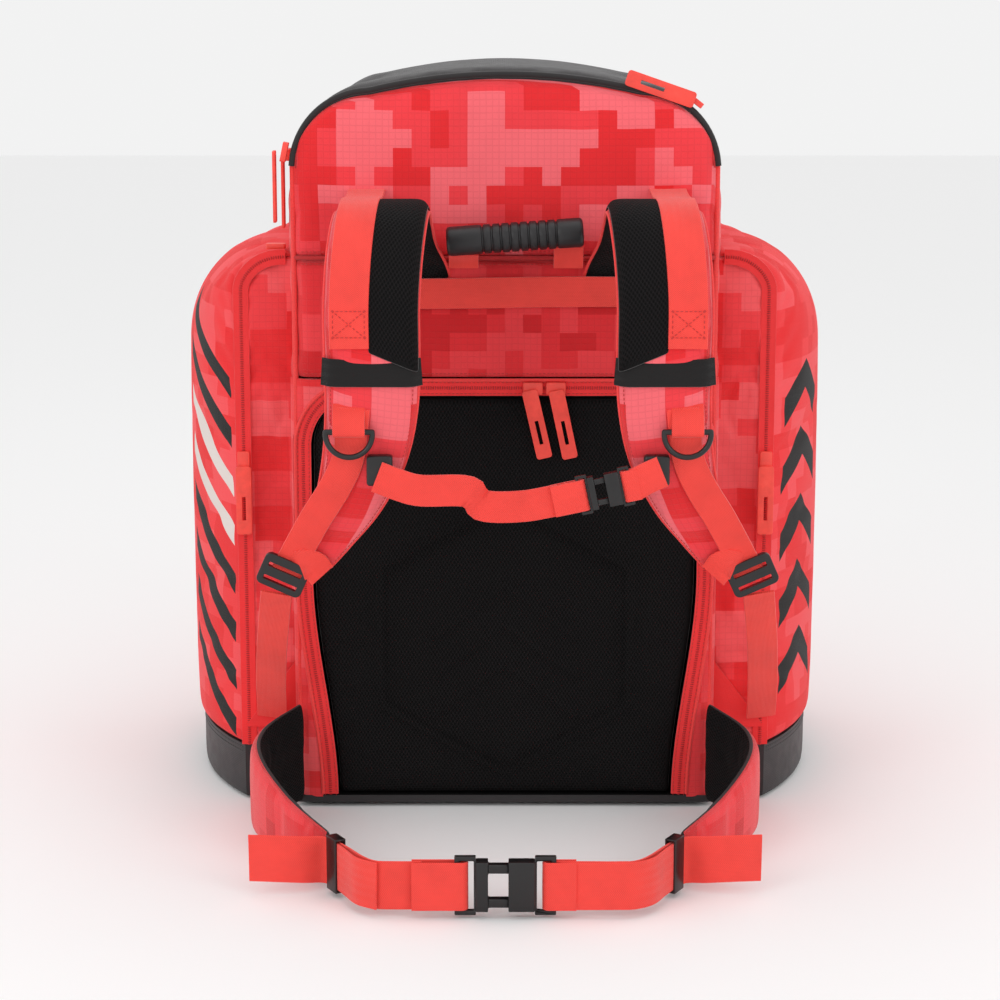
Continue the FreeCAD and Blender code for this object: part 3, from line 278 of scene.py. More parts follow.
def cord_finish(name, colour, pitch, rough=0.6):
    """Smooth binding or thread: fine rings in solid space and a soft shine."""
    paint = Finish(name, Roughness=rough, Sheen_Weight=0.15, Specular_IOR_Level=0.4)
    place = paint.solid_place()
    grain = paint.noise(place, 1 / pitch, 3.0)
    tones = [(0.3, tuple(c * 0.82 for c in colour)), (0.7, colour)]
    paint.put(paint.shader.inputs["Base Color"], paint.ramp(grain, tones))
    paint.bump(grain, 0.0002, 0.6)
    return paint.material


RED_CLOTH = plain_cloth("plain_red_cloth", srgb(247, 52, 54))
PIPING = cord_finish("red_piping", srgb(249, 62, 60), 1.4 * MM)
DARK_PIPING = cord_finish("deep_red_piping", srgb(190, 22, 26), 1.4 * MM)
THREAD_RED = cord_finish("red_thread", srgb(206, 44, 42), 0.5 * MM)
THREAD_BLACK = cord_finish("black_thread", srgb(40, 36, 37), 0.5 * MM)
BLACK_PIPING = cord_finish("black_binding", srgb(34, 30, 31), 1.2 * MM, 0.7)


# %% Coated tarpaulin
def tarpaulin(name, colour):
    paint = Finish(name, Roughness=0.5, Coat_Weight=0.12, Coat_Roughness=0.35, Specular_IOR_Level=0.45)
    place = paint.cloth_place()
    across = paint.split(place)
    grid = paint.math("MULTIPLY", paint.wave(across[0], 1.6 * MM), paint.wave(across[1], 1.6 * MM))
    scuff = paint.noise(place, 60.0, 5.0, 0.65)
    tones = [(0.35, colour), (0.62, tuple(c * 1.25 for c in colour)), (0.8, tuple(c * 2.0 for c in colour))]
    paint.put(paint.shader.inputs["Base Color"], paint.ramp(scuff, tones))
    paint.put(paint.shader.inputs["Roughness"], paint.remap(scuff, 0.3, 0.8, 0.42, 0.62))
    paint.bump(paint.math("ADD", grid, paint.math("MULTIPLY", scuff, 0.8)), 0.0003, 0.6)
    return paint.material


TARPAULIN = tarpaulin("black_tarpaulin", srgb(30, 25, 27))


# %% [markdown]
# Spacer mesh is knitted with small round holes in staggered rows. Two square grids of dots, one
# moved by half a pitch, give that stagger; each dot is a hole that is pressed in, and its near-black
# colour is painted shade in the hole.


# %% Spacer mesh
def spacer_mesh(name, pitch, hole_shade_colour, yarn_colour):
    paint = Finish(name, Roughness=0.85, Sheen_Weight=0.02, Sheen_Roughness=0.4, Specular_IOR_Level=0.15)
    place = paint.cloth_place()
    scaled = paint.vector("MULTIPLY", place, (1 / pitch, 0.62 / pitch, 0))
    nearest = None
    for shift in ((0, 0, 0), (0.5, 0.5, 0)):
        cell = paint.vector("SUBTRACT", paint.vector("FRACTION", paint.vector("ADD", scaled, shift)), (0.5, 0.5, 0))
        reach = paint.node("ShaderNodeVectorMath", {0: cell}, operation="LENGTH").outputs["Value"]
        nearest = reach if nearest is None else paint.math("MINIMUM", nearest, reach)
    yarn = paint.remap(nearest, 0.16, 0.34, 0.0, 1.0)
    fuzz = paint.noise(place, 1500.0, 2.0)
    height = paint.math("ADD", yarn, paint.math("MULTIPLY", fuzz, 0.25))
    slow = paint.noise(place, 12.0, 2.0)
    # The hole colour is painted shade in each hole; the yarn colour is the mesh's own black.
    tone = paint.ramp(yarn, [(0.0, hole_shade_colour), (1.0, yarn_colour)])
    shade = paint.ramp(slow, [(0.3, (0.8, 0.8, 0.8)), (0.7, (1.0, 1.0, 1.0))])
    paint.put(paint.shader.inputs["Base Color"], paint.blend(1.0, tone, shade, "MULTIPLY"))
    paint.bump(height, 0.0009, 0.9)
    return paint.material


# The first colour of each is painted shade for the holes, the second the yarn's own colour.
MESH = spacer_mesh("spacer_mesh", 3.0 * MM, srgb(4, 3, 3), srgb(24, 21, 22))
LINER = spacer_mesh("black_lining", 1.6 * MM, srgb(14, 12, 13), srgb(34, 30, 31))


# %% [markdown]
# Webbing is woven with a fine herringbone. The ribs lean one way on one half of the tape and the
# other way on the next, which a triangle wave across the width gives. Both edges are rolled.


# %% Webbing and elastic
def webbing_finish(name, colour, rib=1.5 * MM, rough=0.55):
    paint = Finish(name, Roughness=rough, Sheen_Weight=0.3, Sheen_Roughness=0.35, Specular_IOR_Level=0.4)
    place = paint.cloth_place()
    across = paint.split(place)
    lean = paint.math("PINGPONG", across[0], 3.2 * MM)
    ribs = paint.wave(paint.math("ADD", across[1], lean), rib)
    cords = paint.wave(across[0], 1.07 * MM)
    height = paint.math("ADD", paint.math("MULTIPLY", ribs, 0.6), paint.math("MULTIPLY", cords, 0.5))
    slow = paint.noise(place, 30.0, 3.0, 0.6)
    # Colour follows the rib relief: painted shade in the grooves and painted highlight on the rib tops, mixed with slow
    # random tone.
    mixed = paint.math("ADD", paint.math("MULTIPLY", ribs, 0.35), paint.math("MULTIPLY", slow, 0.65))
    tones = [(0.2, tuple(c * 0.74 for c in colour)), (0.55, colour), (0.85, tuple(min(c * 1.12, 1) for c in colour))]
    paint.put(paint.shader.inputs["Base Color"], paint.ramp(mixed, tones))
    paint.bump(height, 0.0004, 0.8)
    return paint.material


# Both tapes carry painted shade in their rib grooves and painted highlight on their rib tops.
WEBBING = webbing_finish("coral_webbing", srgb(252, 68, 58))
ELASTIC = webbing_finish("black_elastic", srgb(18, 15, 15), 1.1 * MM, 0.8)


# %% Moulded parts
def moulded(name, colour, rough, grain=0.00012, specular=0.5):
    paint = Finish(name, Roughness=rough, Specular_IOR_Level=specular)
    place = paint.solid_place()
    fine = paint.noise(place, 1800.0, 2.0)
    wear = paint.noise(place, 70.0, 4.0, 0.65)
    tones = [(0.35, tuple(c * 0.86 for c in colour)), (0.6, colour), (0.8, tuple(min(c * 1.3 + 0.004, 1) for c in colour))]
    paint.put(paint.shader.inputs["Base Color"], paint.ramp(wear, tones))
    paint.put(paint.shader.inputs["Roughness"], paint.remap(wear, 0.3, 0.8, rough - 0.08, rough + 0.12))
    paint.bump(fine, grain, 0.5)
    return paint.material


BLACK_PLASTIC = moulded("black_acetal", srgb(24, 22, 23), 0.34)
GRIP_RUBBER = moulded("charcoal_rubber", srgb(28, 26, 28), 0.42, 0.0002)
CORAL_PLASTIC = moulded("coral_coated_metal", srgb(250, 74, 62), 0.4)
PULL_RUBBER = moulded("coral_pull_rubber", srgb(251, 78, 66), 0.5, 0.0002, 0.4)
DARK_INSERT = moulded("dark_pull_insert", srgb(60, 18, 18), 0.6, 0.0002, 0.3)
print("finishes:", len(bpy.data.materials))


# %% [markdown]
# The outer faces of the two boot pockets carry a bold graphic. Plain slanting bars stand on one
# side, and a column of plain chevrons on the other. A bar is where a slanted coordinate, folded
# once every pitch, stays under a share; a chevron is the same bar with its slant mirrored.


# %% Graphic cloth for the pockets
def graphic_cloth(name, tones, shift, kind):
    paint = Finish(name, Roughness=0.74, Sheen_Weight=0.06, Sheen_Roughness=0.5, Specular_IOR_Level=0.3)
    place = paint.cloth_place()
    height, rib = weave_height(paint, place)
    colour = block_tone(paint, place, tones, shift)
    across = paint.split(place)
    if kind == "bars":
        centre, half, pitch, share, slope = 0.095, 0.044, 0.042, 0.42, 0.75
        slant = paint.math("SUBTRACT", across[0], centre)
    else:
        centre, half, pitch, share, slope = -0.095, 0.036, 0.058, 0.42, 0.8
        slant = paint.math("ABSOLUTE", paint.math("SUBTRACT", across[0], centre))
    leaning = paint.math("ADD", across[1], paint.math("MULTIPLY", slant, slope))
    bar = paint.line(leaning, pitch, share)
    inside = paint.math("LESS_THAN", paint.math("ABSOLUTE", paint.math("SUBTRACT", across[0], centre)), half)
    low = paint.math("GREATER_THAN", leaning, 0.085)
    high = paint.math("LESS_THAN", leaning, 0.405)
    where = paint.math("MULTIPLY", paint.math("MULTIPLY", bar, inside), paint.math("MULTIPLY", low, high))
    ink = (0.008, 0.007, 0.007, 1)
    if kind == "bars":
        from_z = paint.math("GREATER_THAN", leaning, 0.235)
        to_z = paint.math("LESS_THAN", leaning, 0.325)
        white = paint.math("MULTIPLY", from_z, to_z)
        ink = paint.blend(white, ink, (0.78, 0.70, 0.66, 1))
    printed = paint.blend(where, colour, ink)
    paint.put(paint.shader.inputs["Base Color"], fade_and_dust(paint, printed, place, 0.06))
    paint.bump(height, 0.00035, 0.7)
    return paint.material


SIDE_TONES = [srgb(238, 38, 42), srgb(245, 56, 60), srgb(249, 80, 85)]
BARS = graphic_cloth("pocket_cloth_bars", SIDE_TONES, 31.0, "bars")
CHEVRONS = graphic_cloth("pocket_cloth_chevrons", SIDE_TONES, 47.0, "chevrons")

# %% [markdown]
# Sewn pieces here are grids of points. A grid gives even faces for the cloth solver, clean edges for
# seams, and lengths along its rows and columns that become a pattern map in real metres. The next
# cells hold the few tools that turn such grids into closed pieces.


# %% Noise, curves and grids
def ease(x):
    x = np.clip(x, 0.0, 1.0)
    return x * x * (3 - 2 * x)


def lattice_noise(points, size, seed=0):
    """Smooth random values from -1 to 1 at points, changing over about size."""
    place = np.asarray(points, float) / size + seed * 17.31
    cell = np.floor(place).astype(np.int64)
    part = place - cell
    part = part * part * (3 - 2 * part)
    total = np.zeros(place.shape[:-1])
    for corner in np.ndindex(2, 2, 2):
        mixed = (cell[..., 0] + corner[0]) * 73856093
        mixed = mixed ^ ((cell[..., 1] + corner[1]) * 19349663)
        mixed = mixed ^ ((cell[..., 2] + corner[2]) * 83492791)
        mixed = (mixed ^ (mixed >> 13)) * 1274126177
        value = ((mixed & 0x7FFFFFFF) % 10007) / 10007 * 2 - 1
        weight = np.ones(place.shape[:-1])
        for axis in range(3):
            weight = weight * (part[..., axis] if corner[axis] else 1 - part[..., axis])
        total += value * weight
    return total


def flow(stations, step):
    """A smooth run through stations (position first, then any widths), about step apart."""
    rows = np.asarray(stations, float)
    ends = np.vstack([2 * rows[0] - rows[1], rows, 2 * rows[-1] - rows[-2]])
    t = np.linspace(0, 1, 16, endpoint=False)[:, None]
    dense = []
    for a, b, c, d in zip(ends, ends[1:], ends[2:], ends[3:]):
        dense.append(0.5 * (2 * b + (c - a) * t + (2 * a - 5 * b + 4 * c - d) * t**2 + (3 * b - a - 3 * c + d) * t**3))
    dense = np.vstack(dense + [rows[-1:]])
    along = np.concatenate([[0], np.cumsum(np.linalg.norm(np.diff(dense[:, :3], axis=0), axis=1))])
    count = max(int(round(along[-1] / step)) + 1, 2)
    want = np.linspace(0, along[-1], count)
    return np.stack([np.interp(want, along, column) for column in dense.T], axis=1)


def unit(v):
    return v / np.maximum(np.linalg.norm(v, axis=-1, keepdims=True), 1e-12)


def grid_normals(grid):
    return unit(np.cross(np.gradient(grid, axis=0), np.gradient(grid, axis=1)))


def metric_map(grid):
    """Distances along rows and columns, from the middle of the grid."""
    down = np.linalg.norm(np.diff(grid, axis=0), axis=2)
    over = np.linalg.norm(np.diff(grid, axis=1), axis=2)
    v = np.concatenate([np.zeros((1, grid.shape[1])), np.cumsum(down, axis=0)])
    u = np.concatenate([np.zeros((grid.shape[0], 1)), np.cumsum(over, axis=1)], axis=1)
    u = u - u[:, -1:] / 2
    return np.stack([u, v], axis=2)


def edge_fall(rows, columns, reach_rows, reach_columns):
    """1 inside a grid, falling in a quarter circle to 0 at its border."""
    def side(count, reach):
        index = np.arange(count)
        near = np.minimum(index, count - 1 - index) / max(reach, 1e-6)
        near = np.clip(near, 0, 1)
        return np.sqrt(1 - (1 - near) ** 2)
    return np.minimum(side(rows, reach_rows)[:, None], side(columns, reach_columns)[None, :])


# %% Meshes from grids
def make_piece(name, vertices, faces, uv, materials, face_material=None, sharp=40.0):
    mesh = bpy.data.meshes.new(name)
    mesh.from_pydata(np.asarray(vertices).tolist(), [], np.asarray(faces).tolist() if len(faces) else [])
    layer = mesh.uv_layers.new(name="cloth")
    index = np.zeros(len(mesh.loops), np.int32)
    mesh.loops.foreach_get("vertex_index", index)
    layer.data.foreach_set("uv", np.asarray(uv, np.float32)[index].ravel())
    for material in materials:
        mesh.materials.append(material)
    if face_material is not None:
        mesh.polygons.foreach_set("material_index", np.asarray(face_material, np.int32))
    mesh.polygons.foreach_set("use_smooth", np.ones(len(mesh.polygons), bool))
    mesh.update()
    mesh.set_sharp_from_angle(angle=math.radians(sharp))
    made = bpy.data.objects.new(name, mesh)
    scene.collection.objects.link(made)
    return made


def quads(rows, columns, start=0, flip=False):
    index = np.arange(rows * columns).reshape(rows, columns) + start
    faces = np.stack([index[:-1, :-1], index[1:, :-1], index[1:, 1:], index[:-1, 1:]], axis=2).reshape(-1, 4)
    return faces[:, ::-1] if flip else faces


def border(rows, columns):
    """Indices round the rim of a grid, once round."""
    index = np.arange(rows * columns).reshape(rows, columns)
    return np.concatenate([index[:-1, 0], index[-1, :-1], index[:0:-1, -1], index[0, :0:-1]])


def pad(name, middle, front, back, materials, outward=None, uv=None, normal=None):
    """A closed piece round a middle grid: front and back are its half thicknesses.
    materials are (front, back, rim). outward is a direction that the front faces."""
    rows, columns = middle.shape[:2]
    normal = grid_normals(middle) if normal is None else normal
    if outward is not None and float((normal @ np.asarray(outward, float)).sum()) < 0:
        normal = -normal
    flip = float((grid_normals(middle) * normal).sum()) < 0
    top = middle + normal * np.broadcast_to(front, (rows, columns))[..., None]
    low = middle - normal * np.broadcast_to(back, (rows, columns))[..., None]
    uv = metric_map(middle) if uv is None else uv
    count = rows * columns
    rim = border(rows, columns)
    turn = np.stack([rim, np.roll(rim, -1), np.roll(rim, -1) + count, rim + count], axis=1)
    turn = turn if flip else turn[:, ::-1]
    front_faces = quads(rows, columns, 0, flip)
    back_faces = quads(rows, columns, count, not flip)
    faces = np.vstack([front_faces, back_faces, turn])
    which = np.concatenate([np.zeros(len(front_faces)), np.ones(len(back_faces)), np.full(len(turn), 2)])
    vertices = np.vstack([top.reshape(-1, 3), low.reshape(-1, 3)])
    flat_uv = np.vstack([uv.reshape(-1, 2), uv.reshape(-1, 2) + [0.31, 0.17]])
    made = make_piece(name, vertices, faces, flat_uv, materials, which)
    made["grid"] = [rows, columns]
    return made


# %% [markdown]
# Cloth only looks sewn if it is held at its seams and free between them. Every piece that is to
# swell or crumple is queued here with its seam points pinned, and one short run of the cloth solver
# settles all of them together. A limit keeps each point near its pattern, so that no piece can
# wander into its neighbour.

# %% Cloth queue
SETTLE_FRAMES = 16
queue = []


def let_settle(piece, pressure, slack, limit, free_back=False, stiff=8.0):
    """Queue a pad for the cloth solver: pinned along its rim, and over its back unless free_back."""
    rows, columns = piece["grid"]
    count = rows * columns
    held = set(border(rows, columns).tolist())
    held |= {i + count for i in held}
    if not free_back:
        held |= set(range(count, 2 * count))
    queue.append((piece, sorted(held), pressure, slack, limit, stiff))


def coordinates(mesh):
    flat = np.zeros(len(mesh.vertices) * 3, np.float32)
    mesh.vertices.foreach_get("co", flat)
    return flat.reshape(-1, 3).astype(float)


def set_coordinates(mesh, points):
    mesh.vertices.foreach_set("co", np.asarray(points, np.float32).ravel())
    mesh.update()


def run_cloth():
    """Settles every queued piece, then bakes the result into its mesh."""
    if not queue:
        queue.clear()
        return
    for piece, held, pressure, slack, limit, stiff in queue:
        group = piece.vertex_groups.new(name="seams")
        group.add(held, 1.0, "REPLACE")
        cloth = piece.modifiers.new("settle", "CLOTH")
        cloth.settings.quality = 5
        cloth.settings.mass = 0.25
        cloth.settings.tension_stiffness = stiff
        cloth.settings.compression_stiffness = stiff
        cloth.settings.shear_stiffness = 3.0
        cloth.settings.bending_stiffness = 0.4
        cloth.settings.use_pressure = True
        cloth.settings.uniform_pressure_force = pressure
        cloth.settings.shrink_min = -slack
        cloth.settings.vertex_group_mass = "seams"
        cloth.settings.effector_weights.gravity = 0.0
        cloth.collision_settings.use_collision = False
        cloth.collision_settings.use_self_collision = False
        cloth.point_cache.frame_start = 1
        cloth.point_cache.frame_end = SETTLE_FRAMES
    scene.frame_start, scene.frame_end = 1, SETTLE_FRAMES
    for number in range(1, SETTLE_FRAMES + 1):
        scene.frame_set(number)
    graph = bpy.context.evaluated_depsgraph_get()
    for piece, held, pressure, slack, limit, stiff in queue:
        settled = coordinates(piece.evaluated_get(graph).data)
        start = coordinates(piece.data)
        shift = settled - start
        far = np.linalg.norm(shift, axis=1, keepdims=True)
        shift = shift / np.maximum(far, 1e-9) * (limit * np.tanh(far / limit))
        piece.modifiers.clear()
        piece.vertex_groups.clear()
        set_coordinates(piece.data, start + shift)
        print(piece.name, "moved at most", round(float(far.max()) * 1000, 1), "mm")
    queue.clear()
    scene.frame_set(1)


def finer(piece, levels=1):
    """Subdivide a piece for good."""
    modifier = piece.modifiers.new("finer", "SUBSURF")
    modifier.levels = modifier.render_levels = levels
    graph = bpy.context.evaluated_depsgraph_get()
    mesh = bpy.data.meshes.new_from_object(piece.evaluated_get(graph))
    mesh.name = piece.name
    piece.modifiers.clear()
    piece.data = mesh
    return piece


def sew(piece, body, slot, *nodes, fill=None):
    """Hang a finished piece on its body and let it stand for its CAD nodes, which it hides. slot, the name of its
    finish, is not used.
    """
    if nodes:
        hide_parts(*nodes)
    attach(piece, body)
    return piece


# %% [markdown]
# Stitches and zip coils both repeat one small shape along a path. A Geometry Nodes tree does
# this for each of them: it walks the path, sets a rounded bead at each step with its long side
# along or across the path, and gives it a material.


# %% Geometry Nodes: beads along a path
def bead_tree():
    tree = bpy.data.node_groups.new("beads_along_path", "GeometryNodeTree")
    face = tree.interface
    face.new_socket("Geometry", in_out="INPUT", socket_type="NodeSocketGeometry")
    for name in ("Pitch", "Along", "Across", "Rise"):
        face.new_socket(name, in_out="INPUT", socket_type="NodeSocketFloat")
    for name in ("Segments", "Rings"):
        face.new_socket(name, in_out="INPUT", socket_type="NodeSocketInt")
    face.new_socket("Finish", in_out="INPUT", socket_type="NodeSocketMaterial")
    face.new_socket("Geometry", in_out="OUTPUT", socket_type="NodeSocketGeometry")
    add = tree.nodes.new
    inputs, outputs = add("NodeGroupInput"), add("NodeGroupOutput")
    curve, points = add("GeometryNodeMeshToCurve"), add("GeometryNodeCurveToPoints")
    points.mode = "LENGTH"
    bead = add("GeometryNodeMeshUVSphere")
    bead.inputs["Radius"].default_value = 1.0
    lay = add("GeometryNodeInputNamedAttribute")
    lay.data_type = "FLOAT_VECTOR"
    lay.inputs["Name"].default_value = "lay"
    along, face_up = add("FunctionNodeAlignRotationToVector"), add("FunctionNodeAlignRotationToVector")
    along.axis = "Z"
    face_up.axis, face_up.pivot_axis = "X", "Z"
    size = add("ShaderNodeCombineXYZ")
    place, real = add("GeometryNodeInstanceOnPoints"), add("GeometryNodeRealizeInstances")
    smooth, paint = add("GeometryNodeSetShadeSmooth"), add("GeometryNodeSetMaterial")
    link = tree.links.new
    link(inputs.outputs["Geometry"], curve.inputs[0])
    link(curve.outputs[0], points.inputs[0])
    link(inputs.outputs["Pitch"], points.inputs["Length"])
    link(inputs.outputs["Segments"], bead.inputs["Segments"])
    link(inputs.outputs["Rings"], bead.inputs["Rings"])
    link(points.outputs["Tangent"], along.inputs["Vector"])
    link(along.outputs[0], face_up.inputs["Rotation"])
    link(lay.outputs[0], face_up.inputs["Vector"])
    link(inputs.outputs["Rise"], size.inputs[0])
    link(inputs.outputs["Across"], size.inputs[1])
    link(inputs.outputs["Along"], size.inputs[2])
    link(points.outputs["Points"], place.inputs["Points"])
    link(bead.outputs["Mesh"], place.inputs["Instance"])
    link(face_up.outputs[0], place.inputs["Rotation"])
    link(size.outputs[0], place.inputs["Scale"])
    link(place.outputs[0], real.inputs[0])
    link(real.outputs[0], smooth.inputs[0])
    link(smooth.outputs[0], paint.inputs["Geometry"])
    link(inputs.outputs["Finish"], paint.inputs["Material"])
    link(paint.outputs[0], outputs.inputs[0])
    return tree


BEADS = bead_tree()


def beads(name, runs, pitch, along, across, rise, finish, segments=7, rings=4):
    """One mesh of beads. runs are (points, outward) pairs, outward one vector or one for each point."""
    vertices, edges, lays = [], [], []
    for points, outward in runs:
        points = np.asarray(points, float)
        start = len(vertices)
        vertices += points.tolist()
        edges += [(start + i, start + i + 1) for i in range(len(points) - 1)]
        lays += np.broadcast_to(np.asarray(outward, float), points.shape).tolist()
    mesh = bpy.data.meshes.new(name)
    mesh.from_pydata(vertices, edges, [])
    mesh.attributes.new("lay", "FLOAT_VECTOR", "POINT").data.foreach_set("vector", np.ravel(lays))
    path = bpy.data.objects.new(name + "_path", mesh)
    scene.collection.objects.link(path)
    modifier = path.modifiers.new("beads", "NODES")
    modifier.node_group = BEADS
    values = {"Pitch": pitch, "Along": along / 2, "Across": across / 2, "Rise": rise / 2, "Finish": finish,
              "Segments": segments, "Rings": rings}
    for socket in BEADS.interface.items_tree:
        if socket.in_out == "INPUT" and socket.name in values:
            modifier[socket.identifier] = values[socket.name]
    graph = bpy.context.evaluated_depsgraph_get()
    result = bpy.data.meshes.new_from_object(path.evaluated_get(graph))
    bpy.data.objects.remove(path)
    result.name = name
    made = bpy.data.objects.new(name, result)
    scene.collection.objects.link(made)
    print(name, "faces:", len(result.polygons))
    return made


def stitches(name, runs, finish, body, pitch=3.4 * MM, thread=0.75 * MM):
    made = beads(name, runs, pitch, pitch * 0.78, thread, thread * 0.8, finish)
    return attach(made, body)


# %% Tubes, webbing and moulded plates
def as_mesh(curve_object, name):
    graph = bpy.context.evaluated_depsgraph_get()
    mesh = bpy.data.meshes.new_from_object(curve_object.evaluated_get(graph))
    bpy.data.objects.remove(curve_object)
    mesh.name = name
    made = bpy.data.objects.new(name, mesh)
    scene.collection.objects.link(made)
    return made


def tube(name, runs, radius, finish, closed=False, sides=2):
    """Round cord along each run of points."""
    curve = bpy.data.curves.new(name, "CURVE")
    curve.dimensions = "3D"
    curve.bevel_depth = radius
    curve.bevel_resolution = sides
    curve.use_fill_caps = True
    curve.materials.append(finish)
    for points in runs:
        spline = curve.splines.new("POLY")
        spline.points.add(len(points) - 1)
        spline.points.foreach_set("co", np.c_[np.asarray(points, float), np.ones(len(points))].ravel())
        spline.use_cyclic_u = closed
        spline.use_smooth = True
    holder = bpy.data.objects.new(name, curve)
    scene.collection.objects.link(holder)
    return as_mesh(holder, name)


def tape(name, runs, thick, finish, curl=0.0, seed=1):
    """Flat woven tape. Each run is rows of (x, y, z, width) with an across direction for each row."""
    profile = [(-0.5, 0.0), (-0.485, 0.5), (-0.2, 0.56), (0.2, 0.56), (0.485, 0.5), (0.5, 0.0),
               (0.485, -0.5), (0.2, -0.5), (-0.2, -0.5), (-0.485, -0.5)]
    vertices, faces, uvs = [], [], []
    for rows, across in runs:
        rows = np.asarray(rows, float)
        across = unit(np.broadcast_to(np.asarray(across, float), (len(rows), 3)))
        run = unit(np.gradient(rows[:, :3], axis=0))
        across = unit(across - (across * run).sum(1, keepdims=True) * run)
        up = np.cross(run, across)
        along = np.concatenate([[0], np.cumsum(np.linalg.norm(np.diff(rows[:, :3], axis=0), axis=1))])
        start = len(vertices)
        ripple = lattice_noise(rows[:, :3] + seed, 0.022, seed) * curl
        for row, side, top, far, wave in zip(rows, across, up, along, ripple):
            for s, t in profile:
                place = row[:3] + side * (s * row[3]) + top * (t * thick + wave * (4 * s * s))
                vertices.append(place)
                uvs.append((s * row[3], far + 0.4 * seed))
        count = len(profile)
        for i in range(len(rows) - 1):
            for j in range(count):
                k = (j + 1) % count
                a, b = start + i * count, start + (i + 1) * count
                faces.append((a + j, a + k, b + k, b + j))
        last = start + (len(rows) - 1) * count
        faces.append(tuple(start + j for j in range(count))[::-1])
        faces.append(tuple(last + j for j in range(count)))
    mesh = bpy.data.meshes.new(name)
    mesh.from_pydata([tuple(v) for v in vertices], [], faces)
    layer = mesh.uv_layers.new(name="cloth")
    for loop, slot_uv in zip(mesh.loops, layer.data):
        slot_uv.uv = uvs[loop.vertex_index]
    mesh.materials.append(finish)
    mesh.polygons.foreach_set("use_smooth", np.ones(len(mesh.polygons), bool))
    mesh.update()
    recalc(mesh)
    mesh.set_sharp_from_angle(angle=math.radians(50))
    made = bpy.data.objects.new(name, mesh)
    scene.collection.objects.link(made)
    return made


def recalc(mesh):
    """Turn every face of a closed mesh outwards."""
    work = bmesh.new()
    work.from_mesh(mesh)
    bmesh.ops.recalc_face_normals(work, faces=work.faces)
    work.to_mesh(mesh)
    work.free()


def arc(cx, cy, radius, start, end, count=8):
    """Points round a circle, in degrees."""
    angles = np.radians(np.linspace(start, end, count))
    return [(cx + radius * math.cos(a), cy + radius * math.sin(a)) for a in angles]


def plate(name, outlines, thick, bevel, finish, place):
    """A moulded plate: outlines (first the edge, then its holes) in X and Z, thick along Y, then placed."""
    curve = bpy.data.curves.new(name, "CURVE")
    curve.dimensions = "2D"
    curve.fill_mode = "BOTH"
    curve.extrude = thick / 2 - bevel
    curve.bevel_depth = bevel
    curve.bevel_resolution = 2
    curve.offset = -bevel
    curve.materials.append(finish)
    for outline in outlines:
        spline = curve.splines.new("POLY")
        spline.points.add(len(outline) - 1)
        flat = [(x, z, 0.0, 1.0) for x, z in outline]
        spline.points.foreach_set("co", np.ravel(flat))
        spline.use_cyclic_u = True
    holder = bpy.data.objects.new(name, curve)
    scene.collection.objects.link(holder)
    made = as_mesh(holder, name)
    upright = Matrix(((1, 0, 0, 0), (0, 0, -1, 0), (0, 1, 0, 0), (0, 0, 0, 1)))
    made.data.transform(place @ upright)
    tidy_solid(made.data)
    return made


def tidy_solid(mesh, angle=35.0):
    work = bmesh.new()
    work.from_mesh(mesh)
    bmesh.ops.remove_doubles(work, verts=work.verts, dist=2e-6)
    bmesh.ops.recalc_face_normals(work, faces=work.faces)
    work.to_mesh(mesh)
    work.free()
    mesh.polygons.foreach_set("use_smooth", np.ones(len(mesh.polygons), bool))
    mesh.update()
    mesh.set_sharp_from_angle(angle=math.radians(angle))


def moulded_copy(name, node, bevel, finish, segments=2):
    """A copy of a CAD piece with its sharp edges softened, as a mould leaves them."""
    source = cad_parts[node].data
    mesh = source.copy()
    mesh.name = name
    mesh.materials.clear()
    mesh.materials.append(finish)
    work = bmesh.new()
    work.from_mesh(mesh)
    bmesh.ops.remove_doubles(work, verts=work.verts, dist=2e-6)
    bmesh.ops.dissolve_limit(work, angle_limit=math.radians(4), verts=work.verts, edges=work.edges)
    edges = [e for e in work.edges if len(e.link_faces) == 2 and e.calc_face_angle() > math.radians(28)]
    bmesh.ops.bevel(work, geom=edges, offset=bevel, segments=segments, profile=0.5, affect="EDGES",
                    clamp_overlap=True)
    bmesh.ops.triangulate(work, faces=[f for f in work.faces if len(f.verts) > 4])
    work.to_mesh(mesh)
    work.free()
    mesh.polygons.foreach_set("use_smooth", np.ones(len(mesh.polygons), bool))
    mesh.update()
    mesh.set_sharp_from_angle(angle=math.radians(30))
    made = bpy.data.objects.new(name, mesh)
    scene.collection.objects.link(made)
    return made


def join(name, parts):
    """Several objects as one mesh."""
    work = bmesh.new()
    slots = []
    for part in parts:
        first = len(work.faces)
        work.from_mesh(part.data)
        work.faces.ensure_lookup_table()
        for material in part.data.materials:
            if material not in slots:
                slots.append(material)
        for face in work.faces[first:]:
            face.material_index = slots.index(part.data.materials[face.material_index])
    mesh = bpy.data.meshes.new(name)
    work.to_mesh(mesh)
    work.free()
    for material in slots:
        mesh.materials.append(material)
    for part in parts:
        bpy.data.objects.remove(part)
    made = bpy.data.objects.new(name, mesh)
    scene.collection.objects.link(made)
    return made


def swap_side(points, about=0.0):
    """Mirror points across the plane x = about."""
    flipped = np.array(points, float)
    flipped[..., 0] = 2 * about - flipped[..., 0]
    return flipped

# %% [markdown]
# ## The shell of the bag
# The compartment is an upright box with rounded corners and a domed top. Its walls are padded cloth
# panels sewn edge to edge, so each wall is a thin pad whose outer skin is settled by the cloth
# solver, with piping over the seams. The outline over the top is one wide arc between two shoulders.

